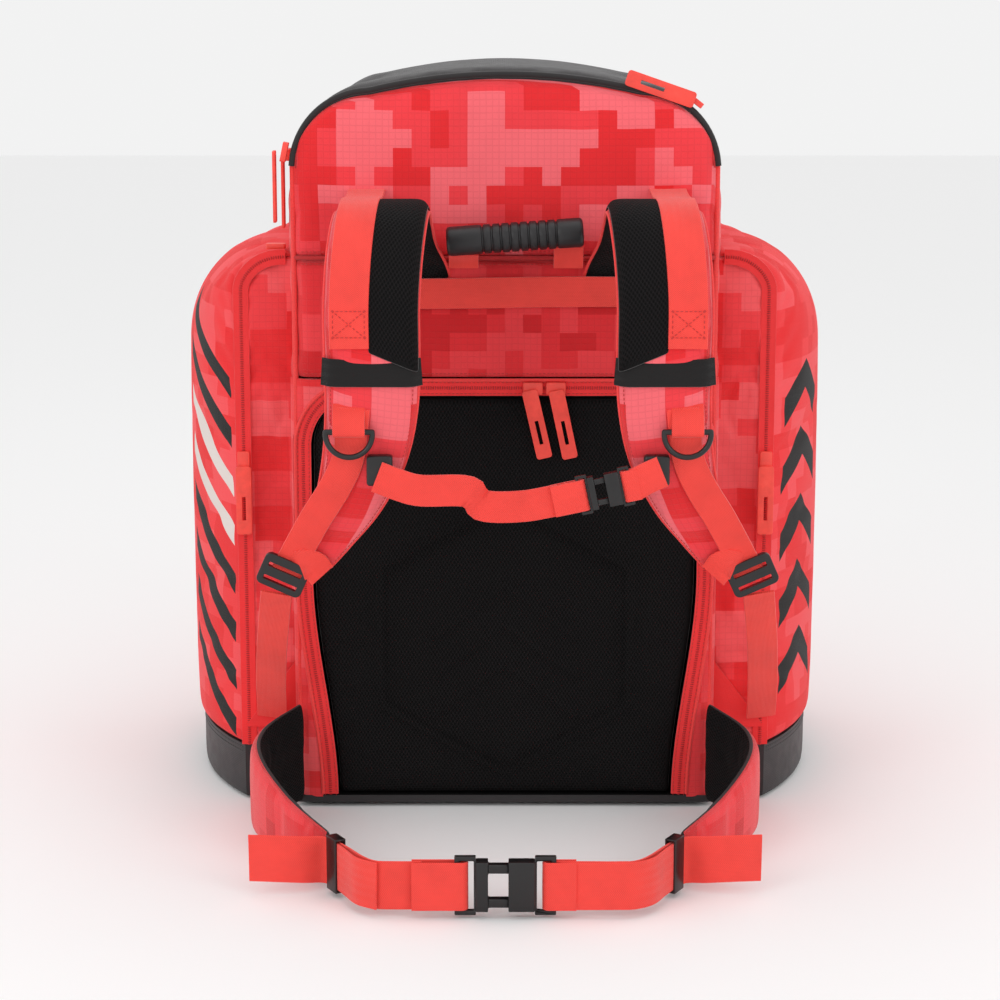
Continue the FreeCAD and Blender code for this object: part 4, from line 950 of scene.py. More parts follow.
# %% Outline of the compartment
LOW, HIGH = [np.array(c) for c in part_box("lid_shell")]
BASE_LOW, BASE_HIGH = [np.array(c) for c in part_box("base_board")]
HALF_W = float(BASE_HIGH[0])
BACK_Y, FRONT_Y = float(BASE_LOW[1]), float(BASE_HIGH[1])
TOP_Z, SHOULDER_Z = float(HIGH[2]), float(LOW[2])
DOOR_LOW, DOOR_HIGH = [np.array(c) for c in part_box("back_door_pad")]
PANEL_Z = float(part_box("upper_back_panel")[0][2])
SEAM_Z = 466.0 * MM
CORNER = 15.0 * MM
CROWN_HALF, CROWN_DROP = 110.0 * MM, 13.0 * MM
CROWN_R = (CROWN_HALF**2 + CROWN_DROP**2) / (2 * CROWN_DROP)
SHOULDER_X, SHOULDER_ARC_Z, SHOULDER_R = 108.78 * MM, 536.71 * MM, 66.3 * MM


def crown_z(x, inset=0.0):
    """Height of the top over x."""
    x = np.abs(x)
    crown = TOP_Z - CROWN_R + np.sqrt(np.maximum(CROWN_R**2 - x**2, 0))
    reach = np.maximum((SHOULDER_R - inset) ** 2 - (x - SHOULDER_X) ** 2, 0)
    shoulder = SHOULDER_ARC_Z + np.sqrt(reach)
    return np.where(x < CROWN_HALF, crown - inset, shoulder)


def corner_y(x, half=HALF_W, radius=CORNER):
    """How far a back or front panel turns in near its upright edges."""
    over = np.clip(np.abs(x) - (half - radius), 0, radius)
    return radius - np.sqrt(np.maximum(radius**2 - over**2, 0))


def dome(step=7.0 * MM, inset=0.0):
    """Points (x, z) from the left foot of the lid over the top to the right foot."""
    right = [(HALF_W - inset, SHOULDER_Z)]
    end = math.degrees(math.atan2(crown_z(CROWN_HALF) - SHOULDER_ARC_Z, CROWN_HALF - SHOULDER_X))
    right += arc(SHOULDER_X, SHOULDER_ARC_Z, SHOULDER_R - inset, 3, end, 14)
    for x in np.linspace(CROWN_HALF, 0, 17)[1:]:
        right.append((x, float(crown_z(x)) - inset))
    line = np.array(right + [(-x, z) for x, z in right[-2::-1]])[::-1]
    line = flow(np.c_[line[:, 0], np.zeros(len(line)), line[:, 1]], step)
    return line[:, [0, 2]]


# %% Panels of the harness side
def back_panel(name, z_low, z_high, finish, half=HALF_W, thick=7.0 * MM, step=6.5 * MM, y=BACK_Y, facing=-1):
    """A panel across the bag. z_high is a height or a function of x."""
    columns = np.linspace(-half, half, int(2 * half / step) + 1)
    top = z_high(columns) if callable(z_high) else np.full(len(columns), z_high)
    rows = int((float(top.max()) - z_low) / step) + 2
    share = np.linspace(0, 1, rows)[:, None]
    z = z_low + share * (top[None, :] - z_low)
    x = np.broadcast_to(columns[None, :], z.shape)
    inward = -facing
    yy = y + inward * (thick / 2 + corner_y(x))
    middle = np.stack([x, yy, z], axis=2)
    fall = 0.35 + 0.65 * edge_fall(*x.shape, 2.2, 2.2)
    uv = np.stack([x, z], axis=2)
    return pad(name, middle, thick / 2 * fall, thick / 2 * 0.8, (finish, LINER, finish), (0, facing, 0), uv)


def panel_top(x):
    return crown_z(x, 2.5 * MM) - 2.5 * MM


collar = back_panel("collar_panel", SEAM_Z + 1 * MM, panel_top, CAMO, HALF_W - 1.5 * MM)
let_settle(collar, 3.0, 0.025, 5.0 * MM)
yoke = back_panel("yoke_panel", PANEL_Z + 1 * MM, SEAM_Z - 1 * MM, CAMO_DEEP)
let_settle(yoke, 2.0, 0.02, 3.0 * MM)


# %% Side walls and front
def side_wall(name, side):
    y = np.linspace(BACK_Y + 10 * MM, FRONT_Y - 10 * MM, 48)
    z = np.linspace(BASE_HIGH[2], SHOULDER_Z - 1 * MM, 78)
    yy, zz = np.meshgrid(y, z)
    middle = np.stack([np.full(yy.shape, side * (HALF_W - 3 * MM)), yy, zz], axis=2)
    fall = 0.3 + 0.7 * edge_fall(*yy.shape, 2, 2)
    return pad(name, middle, 3 * MM * fall, 2.2 * MM, (CAMO_SIDE, LINER, CAMO_SIDE), (side, 0, 0), np.stack([yy, zz], axis=2))


left_wall, right_wall = side_wall("side_wall_left", -1), side_wall("side_wall_right", 1)
for wall in (left_wall, right_wall):
    let_settle(wall, 1.5, 0.02, 4.0 * MM)
front = back_panel("front_wall", BASE_HIGH[2], panel_top, CAMO, HALF_W - 1.5 * MM, 6 * MM, 8 * MM, FRONT_Y, 1)
let_settle(front, 2.5, 0.02, 5.0 * MM)

FP_LOW, FP_HIGH = [np.array(c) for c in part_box("front_pocket")]


def front_pocket():
    """A box pocket on the far side: a crowned face whose rim turns down to the wall."""
    half_w, z0, z1 = FP_HIGH[0], FP_LOW[2], FP_HIGH[2]
    s = np.linspace(-1, 1, 48)
    t = np.linspace(-1, 1, 60)
    ss, tt = np.meshgrid(s, t)
    squeeze = 1 - 0.10 * np.abs(tt) ** 6
    x = ss * half_w * squeeze
    z = (z0 + z1) / 2 + tt * (z1 - z0) / 2 * (1 - 0.08 * np.abs(ss) ** 6)
    rise = (1 - np.abs(ss) ** 9) * (1 - np.abs(tt) ** 9)
    y = FRONT_Y + 1 * MM + (FP_HIGH[1] - FRONT_Y - 3 * MM) * rise**0.6
    grid = np.stack([x, y, z], axis=2)
    return pad("front_pocket_cloth", grid, 1.2 * MM, 1.2 * MM, (CAMO, LINER, CAMO), (0, 1, 0), np.stack([x, z], axis=2))


pocket_cloth = front_pocket()
let_settle(pocket_cloth, 2.0, 0.03, 6.0 * MM, free_back=True)

# %% [markdown]
# The bottom of the bag is a shallow black tray of tarpaulin that wraps up the walls a little.


# %% Base tray
def base_tray():
    x = np.linspace(-HALF_W, HALF_W, 61)
    y = np.linspace(BACK_Y, FRONT_Y, 59)
    xx, yy = np.meshgrid(x, y)
    near = np.minimum(HALF_W - np.abs(xx), np.minimum(yy - BACK_Y, FRONT_Y - yy))
    lift = (1 - ease(near / (9 * MM))) * 3.2 * MM
    grid = np.stack([xx, yy, 3.2 * MM + lift * 0.9], axis=2)
    made = pad("base_tray", grid, 2.8 * MM, 3.0 * MM, (LINER, TARPAULIN, TARPAULIN), (0, 0, 1))
    return made


base = base_tray()

# %% [markdown]
# ## The back door
# The padded mesh panel rests against the skier's back. It is one thick pad with rounded top corners.
# Its mesh is heat-moulded over a raised figure, here a plain hexagon with three chevrons. The figure
# is pressed into the settled mesh, so that it survives from any side.

# %% Mesh door
DOOR_T = float(DOOR_HIGH[1] - DOOR_LOW[1])
DOOR_WIDE_Z, DOOR_CORNER = 200.0 * MM, 42.0 * MM
DOOR_HALF_WIDE, DOOR_HALF_BOTTOM = float(DOOR_HIGH[0]), 141.0 * MM


def door_half(z):
    """Half the width of the door at height z."""
    taper = DOOR_HALF_BOTTOM + (DOOR_HALF_WIDE - DOOR_HALF_BOTTOM) * ease((z - DOOR_LOW[2]) / (DOOR_WIDE_Z - DOOR_LOW[2]))
    up = np.clip(z - (DOOR_HIGH[2] - DOOR_CORNER), 0, DOOR_CORNER)
    return taper - DOOR_CORNER + np.sqrt(np.maximum(DOOR_CORNER**2 - up**2, 0))


def mesh_door():
    t = 1 - (1 - np.linspace(0, 1, 72)) ** 1.25
    z = DOOR_LOW[2] + 1 * MM + t * (DOOR_HIGH[2] - DOOR_LOW[2] - 2 * MM)
    s = np.linspace(-1, 1, 66)
    zz = np.broadcast_to(z[:, None], (len(z), len(s)))
    xx = s[None, :] * (door_half(zz) - 0.8 * MM)
    middle = np.stack([xx, np.full(xx.shape, DOOR_LOW[1] + 9 * MM), zz], axis=2)
    fall = edge_fall(*xx.shape, 3.0, 3.0)
    front_half = (1.5 + 7.5 * fall) * MM
    return pad("back_door_mesh", middle, front_half, 6 * MM, (MESH, LINER, BLACK_PIPING), (0, -1, 0), np.stack([xx, zz], axis=2))


door = mesh_door()
let_settle(door, 4.0, 0.01, 3.0 * MM)


# %% The lid
def lid_strip(name, keep, finish, thick=6.0 * MM):
    """Part of the domed lid: the columns of the dome for which keep is true."""
    line = dome()
    line = line[[bool(keep(x, z)) for x, z in line]]
    y = np.linspace(BACK_Y + 2 * MM, FRONT_Y - 2 * MM, 52)
    xx = np.broadcast_to(line[:, 0], (len(y), len(line)))
    zz = np.broadcast_to(line[:, 1], xx.shape)
    yy = np.broadcast_to(y[:, None], xx.shape)
    centre = np.array([0, 0, SHOULDER_ARC_Z - 0.16])
    roll = np.maximum(0, 1 - np.minimum(yy - BACK_Y, FRONT_Y - yy) / (9 * MM)) ** 2 * 4.0 * MM
    out = unit(np.stack([xx, xx * 0, zz], axis=2) - centre)
    middle = np.stack([xx, yy, zz], axis=2) - out * (thick / 2 + roll)[..., None]
    far = np.concatenate([[0], np.cumsum(np.linalg.norm(np.diff(line, axis=0), axis=1))])
    uv = np.stack([np.broadcast_to(far, xx.shape), yy], axis=2)
    fall = 0.35 + 0.65 * edge_fall(*xx.shape, 1.6, 1.6)
    return pad(name, middle, thick / 2 * fall, thick / 2 * 0.8, (finish, LINER, finish), (0, 0, 1), uv, unit(out))


WEDGE_Z = 571.0 * MM
LID_HEM = 552.0 * MM
lid_top = lid_strip("lid_top", lambda x, z: z > WEDGE_Z, TARPAULIN)
let_settle(lid_top, 3.0, 0.02, 4.0 * MM)


def lid_side(name, side):
    """The red cheek of the lid, between the black top and the zip at its hem."""
    line = dome(4.5 * MM)
    line = line[(line[:, 0] * side > 0.1) & (line[:, 1] < WEDGE_Z + 4 * MM)]
    y = np.linspace(BACK_Y + 2 * MM, FRONT_Y - 2 * MM, 60)
    xx = np.broadcast_to(line[:, 0], (len(y), len(line)))
    zz = np.broadcast_to(line[:, 1], xx.shape)
    yy = np.broadcast_to(y[:, None], xx.shape)
    out = np.broadcast_to(unit(np.array([side, 0, 0.25])), xx.shape + (3,))
    middle = np.stack([xx, yy, zz], axis=2) - out * 3.2 * MM
    uv = np.stack([yy, zz], axis=2)
    return pad(name, middle, 2.4 * MM, 2.4 * MM, (CAMO_SIDE, LINER, CAMO_SIDE), (side, 0, 0), uv, out)


lid_left, lid_right = lid_side("lid_cheek_left", -1), lid_side("lid_cheek_right", 1)
print("queued for the cloth solver:", len(queue))

# %% [markdown]
# ## The side pockets for the boots
# Each pocket is a tall bowed shell, zipped round its edge, on a black waterproof tray. In plan it is
# an arc; at the top it rolls over to meet the wall. One rule gives its skin: the lesser of the plan
# arc and a rounded profile.

# %% Boot pockets
PD_LOW, PD_HIGH = [np.array(c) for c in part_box("right_pocket_door")]
POCKET_HALF_D = float(PD_HIGH[1])
POCKET_MID_X, POCKET_TOP = float(PD_HIGH[0]), float(PD_HIGH[2])
POCKET_EDGE_X = HALF_W + 47.0 * MM
POCKET_BASE_Z = float(PD_LOW[2])
POCKET_ROLL_Z = 385.0 * MM


def pocket_reach(y):
    """How far out the pocket stands at y."""
    sag = POCKET_MID_X - POCKET_EDGE_X
    radius = (POCKET_HALF_D**2 + sag**2) / (2 * sag)
    return POCKET_MID_X - radius + np.sqrt(np.maximum(radius**2 - np.asarray(y) ** 2, 0))


def pocket_profile(reach, t):
    """Point (x, z) of the section at share t from the foot to the wall at the top."""
    drop = 30 * MM + (POCKET_TOP - POCKET_ROLL_Z - 30 * MM) * ease((reach - POCKET_EDGE_X) / (POCKET_MID_X - POCKET_EDGE_X))
    run = np.minimum(reach - HALF_W - 10 * MM, 26 * MM + 0.6 * drop)
    foot, roll = POCKET_BASE_Z, POCKET_TOP - drop
    flat = np.maximum(reach - run - HALF_W, 0)
    bend = 1.2 * np.sqrt(drop * run)
    total = (roll - foot) + bend + flat
    far = t * total
    up = np.clip(far / (roll - foot), 0, 1)
    turn = np.clip((far - (roll - foot)) / bend, 0, 1) * math.pi / 2
    over = np.clip(far - (roll - foot) - bend, 0, None)
    x = reach - run * (1 - np.cos(turn)) - over
    z = foot + up * (roll - foot) + drop * np.sin(turn)
    return x, z


def pocket_shell(name, side, finish):
    y = np.linspace(-POCKET_HALF_D + 1 * MM, POCKET_HALF_D - 1 * MM, 54)
    t = np.linspace(0, 1, 86)
    yy, tt = np.meshgrid(y, t)
    x, z = pocket_profile(pocket_reach(yy), tt)
    x = np.maximum(x, HALF_W + 1 * MM)
    outer = np.stack([side * x, yy, z], axis=2)
    normal = grid_normals(outer)
    normal = normal * np.sign((normal @ np.array([side, 0, 0.6])).sum())
    thick = 6.0 * MM
    fall = 0.45 + 0.55 * edge_fall(*yy.shape, 2.5, 2.5)
    middle = outer - normal * thick / 2
    uv = np.stack([yy * side, z + np.clip(POCKET_MID_X - x - 0.05, 0, 1)], axis=2)
    made = pad(name, middle, thick / 2 * fall, thick / 2 * 0.8, (finish, LINER, RED_CLOTH), (side, 0, 0.6), uv, normal)
    let_settle(made, 3.0, 0.02, 6.0 * MM)
    return made


shells = {-1: pocket_shell("boot_pocket_left", -1, BARS), 1: pocket_shell("boot_pocket_right", 1, CHEVRONS)}


def pocket_gusset(name, side, end):
    """The end wall of a pocket, slack cloth between the bag and the zip."""
    z = np.linspace(POCKET_BASE_Z + 0.5 * MM, POCKET_TOP - 3 * MM, 76)
    s = np.linspace(0, 1, 16)
    zz = np.broadcast_to(z[:, None], (len(z), len(s)))
    ss = np.broadcast_to(s[None, :], zz.shape)
    outer = POCKET_EDGE_X - 6 * MM - np.clip(zz - (POCKET_TOP - 30 * MM), 0, 1) ** 2 / 0.045
    xx = HALF_W - 3 * MM + ss * (outer - HALF_W + 3 * MM)
    y = end * (POCKET_HALF_D - 3 * MM)
    hollow = 1.5 * MM * np.sin(math.pi * ss)
    middle = np.stack([side * xx, y - end * hollow, zz], axis=2)
    uv = np.stack([side * xx, zz], axis=2)
    made = pad(name, middle, 2 * MM, 8 * MM, (CAMO_SIDE, LINER, CAMO_SIDE), (0, end, 0), uv)
    let_settle(made, 1.0, 0.05, 5.0 * MM)
    return made


gussets = [pocket_gusset(f"pocket_gusset_{'left' if side < 0 else 'right'}_{'back' if end < 0 else 'front'}", side, end)
           for side in (-1, 1) for end in (-1, 1)]


def pocket_tray(name, side):
    """Black tray under a pocket: a bowed wall that turns in at its foot."""
    line = [(HALF_W + 0.5 * MM, -POCKET_HALF_D)]
    ys = np.linspace(-POCKET_HALF_D, POCKET_HALF_D, 44)
    line = [(HALF_W + 1 * MM + s * (POCKET_EDGE_X - HALF_W), -POCKET_HALF_D) for s in np.linspace(0, 0.97, 9)]
    line += [(float(pocket_reach(y)), y) for y in ys]
    line += [(HALF_W + 1 * MM + s * (POCKET_EDGE_X - HALF_W), POCKET_HALF_D) for s in np.linspace(0.97, 0, 9)]
    line = np.array(line)
    z = np.array([0.0, 0.8, 2.2, 4.5, 8, 14, 20, 26, 32, 38, 43, 47.5]) * MM
    shrink = np.array([7.0, 3.6, 1.8, 0.7, 0.2, 0, 0, 0, 0, 0, 0, 0]) * MM
    hub = np.array([HALF_W, 0.0])
    rows = []
    for height, pull in zip(z, shrink):
        inward = unit(hub - line)
        flat = line + inward * (pull + 2.6 * MM)
        flat[:, 0] = np.maximum(flat[:, 0], HALF_W + 0.5 * MM)
        rows.append(np.c_[side * flat[:, 0], flat[:, 1], np.full(len(line), height)])
    middle = np.array(rows)
    out = np.zeros_like(middle)
    out[..., :2] = unit(middle[..., :2] - [side * HALF_W, 0])
    made = pad(name, middle, 2.4 * MM, 2.2 * MM, (TARPAULIN, LINER, TARPAULIN), (side, 0, 0), None, out)
    return made


def tray_floor(name, side):
    ys = np.linspace(-POCKET_HALF_D + 4 * MM, POCKET_HALF_D - 4 * MM, 30)
    s = np.linspace(0, 1, 12)
    yy, ss = np.meshgrid(ys, s)
    xx = HALF_W + 1 * MM + ss * (pocket_reach(yy) - 9 * MM - HALF_W)
    middle = np.stack([side * xx, yy, np.full(yy.shape, 3 * MM)], axis=2)
    return pad(name, middle, 2.6 * MM, 2.8 * MM, (LINER, TARPAULIN, TARPAULIN), (0, 0, 1))


trays = {}
for side, word in ((-1, "left"), (1, "right")):
    trays[side] = join("pocket_tray_" + word, [pocket_tray("tray_wall", side), tray_floor("tray_floor", side)])
print("pocket reach", round(POCKET_MID_X, 3), "m")

# %% [markdown]
# ## The harness
# A shoulder strap is a foam pad with red cloth outside and black mesh against the wearer. Its run is
# one smooth curve: up from the back wall, over a high arch where a shoulder would be, and down to a
# narrow tip. The stations below are places on that curve with the width and thickness there.

# %% Shoulder straps
HARNESS_X = 10.0 * MM
ROOT_Z = float(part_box("strap_root_band")[0][2])
LOCK_X = HALF_W + 6.0 * MM


def strap_stations():
    rows = [
        (87, -2.2, 1, 72, 4), (92, -2.7, 26, 72, 5), (101, -26, 51, 72, 12), (104, -52, 70, 72, 14),
        (105, -84, 84, 72, 14), (107, -116, 77, 72, 14), (110, -135, 52, 72, 14), (112, -142, 18, 72, 14),
        (112, -141, -20, 72, 14), (113, -134, -61, 70, 13), (119, -124, -100, 64, 12), (132, -111, -138, 52, 11),
        (148, -98, -169, 38, 9), (160, -90, -193, 24, 7),
    ]
    return np.array([(x * MM, BACK_Y + y * MM, ROOT_Z + z * MM, w * MM, t * MM) for x, y, z, w, t in rows])


STATIONS = strap_stations()
STRAP = flow(STATIONS, 4.5 * MM)
STRAP_RUN = unit(np.gradient(STRAP[:, :3], axis=0))
STRAP_ACROSS = unit(np.array([1.0, 0, 0]) - STRAP_RUN * STRAP_RUN[:, :1])
STRAP_OUT = unit(np.cross(STRAP_RUN, STRAP_ACROSS))


def row_at(station):
    """Row of the smooth strap nearest to a station number."""
    low = int(station)
    a, b = STATIONS[low], STATIONS[min(low + 1, len(STATIONS) - 1)]
    place = a[:3] + (b[:3] - a[:3]) * (station - low)
    return int(np.argmin(np.linalg.norm(STRAP[:, :3] - place, axis=1)))


def strap_grid(side, rows, shares, out):
    """Points on the strap: rows by share of the width (0 inner edge), out from the middle of the foam."""
    rows = np.asarray(rows)
    s = np.asarray(shares, float)
    centre = STRAP[rows, :3][:, None, :]
    width = STRAP[rows, 3][:, None, None]
    grid = centre + STRAP_ACROSS[rows][:, None, :] * (s[..., None] - 0.5) * width
    grid = grid + STRAP_OUT[rows][:, None, :] * np.broadcast_to(np.asarray(out, float), s.shape)[..., None]
    normal = np.broadcast_to(STRAP_OUT[rows][:, None, :], grid.shape).copy()
    if side < 0:
        grid = swap_side(grid)
        normal[..., 0] *= -1
    grid = grid + [HARNESS_X, 0, 0]
    return grid, normal


def foam_crown(shares):
    """Rounded section of the foam: full in the middle, thin at both seams."""
    near = np.clip(1 - np.abs(np.asarray(shares) * 2 - 1), 0, 1) / 0.30
    return np.sqrt(np.maximum(1 - (1 - np.clip(near, 0, 1)) ** 2, 0))


def strap_pad(name, side):
    rows = np.arange(len(STRAP))
    shares = np.linspace(0, 1, 19)
    s = np.broadcast_to(shares, (len(rows), len(shares)))
    middle, normal = strap_grid(side, rows, s, 0.0)
    half = STRAP[rows, 4][:, None] / 2
    section = 0.16 + 0.84 * foam_crown(s)
    ends = ease(np.arange(len(rows))[::-1] / 4.0 + 0.25)[:, None]
    uv = metric_map(middle)
    made = pad(name, middle, half * section * ends, half * section * ends * 0.9, (CAMO, MESH, DARK_PIPING), None, uv, normal)
    return made


strap_pads = {-1: strap_pad("strap_pad_left", -1), 1: strap_pad("strap_pad_right", 1)}
for piece in strap_pads.values():
    let_settle(piece, 3.5, 0.015, 2.2 * MM, free_back=True)


def mesh_overlay(name, side):
    """Spacer mesh on the inner half of the strap, from behind the arch to a slanted end."""
    start, end = row_at(2.5), row_at(7.95)
    rows = np.arange(start, end + 1)
    t = np.linspace(0, 1, len(rows))
    inner = np.zeros(len(rows))
    outer = 0.55 - 0.30 * (1 - ease(t * 6))
    last = ease((t - 0.86) / 0.14)
    outer = outer - 0.02 * last
    s = inner[:, None] + np.linspace(0, 1, 15)[None, :] * (outer - inner)[:, None]
    crown = foam_crown(s)
    half = STRAP[rows, 4][:, None] / 2
    middle, normal = strap_grid(side, rows, s, half * (0.16 + 0.84 * crown) + 2.6 * MM)
    slant = last[:, None] * (0.5 - s) * 30 * MM
    middle[..., 2] -= slant
    fall = 0.4 + 0.6 * edge_fall(*s.shape, 1.5, 1.5)
    made = pad(name, middle, 1.1 * MM * fall, 1.1 * MM * fall, (MESH, MESH, BLACK_PIPING), None, metric_map(middle), normal)
    return made


overlays = [mesh_overlay("overlay_right", 1), mesh_overlay("overlay_left", -1)]
for piece in overlays:
    finer(piece)


def strap_edge(side, share, start=0, end=None, out=0.0, step=1):
    """A run of points along one edge or seam of the strap."""
    rows = np.arange(start, len(STRAP) if end is None else end, step)
    s = np.full((len(rows), 1), share)
    out_here = out if np.isscalar(out) else np.asarray(out)[:, None]
    grid, normal = strap_grid(side, rows, s, out_here)
    return grid[:, 0], normal[:, 0]


def both(path_maker):
    """The same run on the left and on the right."""
    return [path_maker(-1), path_maker(1)]


def strap_height(rows, share):
    """Height of the cloth over the middle of the foam at a share of the width."""
    return STRAP[rows, 4] / 2 * (0.16 + 0.84 * foam_crown(np.full(len(rows), share)))


# %% Webbing on the straps
LIFTER_W, STRAP_WEB_W, WEB_T = 30.2 * MM, 25.0 * MM, 1.8 * MM
LIFTER_Z = 522.0 * MM
LOCK_LOW, LOCK_HIGH = [np.array(c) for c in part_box("ladder_locks")]
RING_LOW, RING_HIGH = [np.array(c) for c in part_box("right_d_ring")]
RING_BAR_Z = float(RING_HIGH[2]) - 2.2 * MM
RING_BAR_Y = float((RING_LOW[1] + RING_HIGH[1]) / 2)
RING_X = float((RING_LOW[0] + RING_HIGH[0]) / 2) - HARNESS_X


def on_side(points, side):
    points = np.array(points, float)
    if side < 0:
        points[:, 0] *= -1
    points[:, 0] += HARNESS_X
    return points


def load_lifter(side):
    """Stitched to the strap's face, up over the arch and back to the top of the bag."""
    rows = np.arange(row_at(4.2), row_at(7.75) + 1)[::-1][::2]
    lift = strap_height(rows, 0.73) + 3.6 * MM
    grid, normal = strap_grid(side, rows, np.full((len(rows), 1), 0.73), lift[:, None])
    line = grid[:, 0]
    end = np.array([line[-1][0], BACK_Y + 1 * MM, LIFTER_Z])
    sag = [(line[-1] + (end - line[-1]) * t + [0, 0, -2.5 * MM * math.sin(math.pi * t)]) for t in np.linspace(0.12, 1, 12)]
    line = np.vstack([line, sag])
    return np.c_[line, np.full(len(line), LIFTER_W)], (1.0, 0, 0)


lifters = tape("load_lifter_webbing", both(load_lifter), WEB_T, WEBBING, 0.5 * MM, 2)


def elastic_band(side):
    rows = [row_at(8.05), row_at(8.55)]
    z_mid = float(STRAP[rows, 2].mean())
    row = (rows[0] + rows[1]) // 2
    shares = np.linspace(-0.03, 1.03, 30)
    s = shares[:, None]
    half = STRAP[row, 4] / 2
    out = half * (0.2 + 0.80 * foam_crown(np.clip(shares, 0, 1))) + 2.2 * MM
    centre, width = STRAP[row, :3], STRAP[row, 3]
    line = centre + STRAP_ACROSS[row] * (s - 0.5) * width + STRAP_OUT[row] * out[:, None]
    line[:, 2] += z_mid - line[:, 2].mean()
    line = on_side(line, side)
    return np.c_[line, np.full(len(line), 21.5 * MM)], (0, 0, 1.0)


elastics = tape("elastic_band_cloth", both(elastic_band), 1.5 * MM, ELASTIC, 0.15 * MM, 3)


def strap_face(z):
    """Front of the strap at height z, below the arch."""
    low = np.arange(row_at(7.0), len(STRAP))
    row = low[int(np.argmin(np.abs(STRAP[low, 2] - z)))]
    return STRAP[row, 1] - STRAP[row, 4] / 2


def strap_webbing_run(side):
    """From under the ring's loop down to the ladder lock."""
    z0 = RING_BAR_Z + 18 * MM
    lock_top = np.array([LOCK_X - 3 * MM, (LOCK_LOW[1] + LOCK_HIGH[1]) / 2, LOCK_HIGH[2] - 5 * MM])
    stations = [
        (RING_X - 4 * MM, strap_face(z0) - 2.4 * MM, z0), (RING_X - 2 * MM, strap_face(z0) - 2.6 * MM, z0 - 18 * MM),
        (RING_X + 2 * MM, strap_face(RING_BAR_Z - 24 * MM) - 2.6 * MM, RING_BAR_Z - 24 * MM),
        (RING_X + 13 * MM, strap_face(RING_BAR_Z - 48 * MM) - 3.2 * MM, RING_BAR_Z - 48 * MM),
        (RING_X + 30 * MM, strap_face(RING_BAR_Z - 76 * MM) - 4.5 * MM, RING_BAR_Z - 76 * MM),
        lock_top, (LOCK_X + 3 * MM, lock_top[1] + 1 * MM, lock_top[2] - 12 * MM),
    ]
    rows = flow(np.array(stations), 4 * MM)
    line = on_side(rows, side)
    turn = ease((rows[:, 2].max() - rows[:, 2]) / (80 * MM)) * math.radians(24)
    across = np.stack([side * np.cos(turn), turn * 0, np.sin(turn)], axis=1) * side
    return np.c_[line, np.full(len(line), STRAP_WEB_W)], across


def ring_loop(side):
    """A short loop of webbing round the bar of the ring, sewn to the strap above it."""
    r = 2.2 * MM + 1.2 * MM
    wall = strap_face(RING_BAR_Z) - 1.6 * MM
    back = [(RING_BAR_Y + r + 0.2 * MM, RING_BAR_Z + t) for t in (2 * MM, 10 * MM)]
    turn = [(RING_BAR_Y + r * math.cos(a), RING_BAR_Z - r * math.sin(a)) for a in np.radians(np.linspace(0, 180, 11))]
    top_z = RING_BAR_Z + 21 * MM
    up = [(RING_BAR_Y - r, RING_BAR_Z + 3 * MM), (RING_BAR_Y - r + 0.8 * MM, RING_BAR_Z + 9 * MM),
          (min(wall - 2.6 * MM, RING_BAR_Y), RING_BAR_Z + 15 * MM), (wall - 2.4 * MM, top_z)]
    line = [(y, z) for y, z in back[::-1]] + turn + up
    points = on_side([(RING_X, y, z) for y, z in line], side)
    return np.c_[points, np.full(len(points), STRAP_WEB_W)], (1.0, 0, 0)


strap_webs = tape("strap_webbing_run", both(strap_webbing_run) + both(ring_loop), WEB_T, WEBBING, 0.35 * MM, 4)


def lower_webbing_run(side):
    low, high = [np.array(c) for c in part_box("lower_webbings")]
    x0 = LOCK_X + 11 * MM
    x1 = float(high[0]) - HARNESS_X - 12.5 * MM
    y0, y1 = float(low[1]) + 1 * MM, float(high[1]) - 1 * MM
    z0, z1 = float(high[2]) - 1 * MM, float(low[2]) + 3 * MM
    t = np.linspace(0, 1, 34)
    bow = np.sin(math.pi * t)
    points = np.stack([x0 + (x1 - x0) * t + 2 * MM * bow, y0 + (y1 - y0) * t - 3 * MM * bow, z0 + (z1 - z0) * t], axis=1)
    tilt = math.radians(10)
    across = (side * math.cos(tilt) * side, 0, math.sin(tilt) * side)
    return np.c_[on_side(points, side), np.full(len(t), STRAP_WEB_W)], across


def free_tail_run(side):
    """The tail of the strap webbing that hangs in front of the lock."""
    y = float(LOCK_LOW[1]) - 1.5 * MM
    x, z = LOCK_X - 6 * MM, float(LOCK_HIGH[2]) - 12 * MM
    points = [(x, y + 4 * MM, z), (x - 6 * MM, y + 0.5 * MM, z + 4 * MM), (x - 14 * MM, y + 0.2 * MM, z + 2 * MM), (x - 20 * MM, y + 1.5 * MM, z - 6 * MM)]
    rows = flow(np.array(points), 3 * MM)
    across = (side * 0.35 * side, 0, 0.94 * side)
    return np.c_[on_side(rows, side), np.full(len(rows), STRAP_WEB_W * 0.96)], across


lower_webs = tape("lower_webbing_run", both(lower_webbing_run) + both(free_tail_run), WEB_T, WEBBING, 0.8 * MM, 5)

band_low, band_high = [np.array(c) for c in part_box("strap_root_band")]


def root_band_run():
    x = np.linspace(band_low[0], band_high[0], 60)
    z = (band_low[2] + band_high[2]) / 2 + 0.8 * MM * np.sin(x * 22)
    y = np.full(len(x), (band_low[1] + band_high[1]) / 2 - 0.6 * MM) + 1.2 * MM * np.cos(x / 0.05) * 0.3
    return np.c_[x, y, z, np.full(len(x), band_high[2] - band_low[2])], (0, 0, 1.0)


root_band = tape("root_band_webbing", [root_band_run()], WEB_T, WEBBING, 0.3 * MM, 6)
print("strap rows", len(STRAP), "lock", [round(float(v), 3) for v in LOCK_LOW])

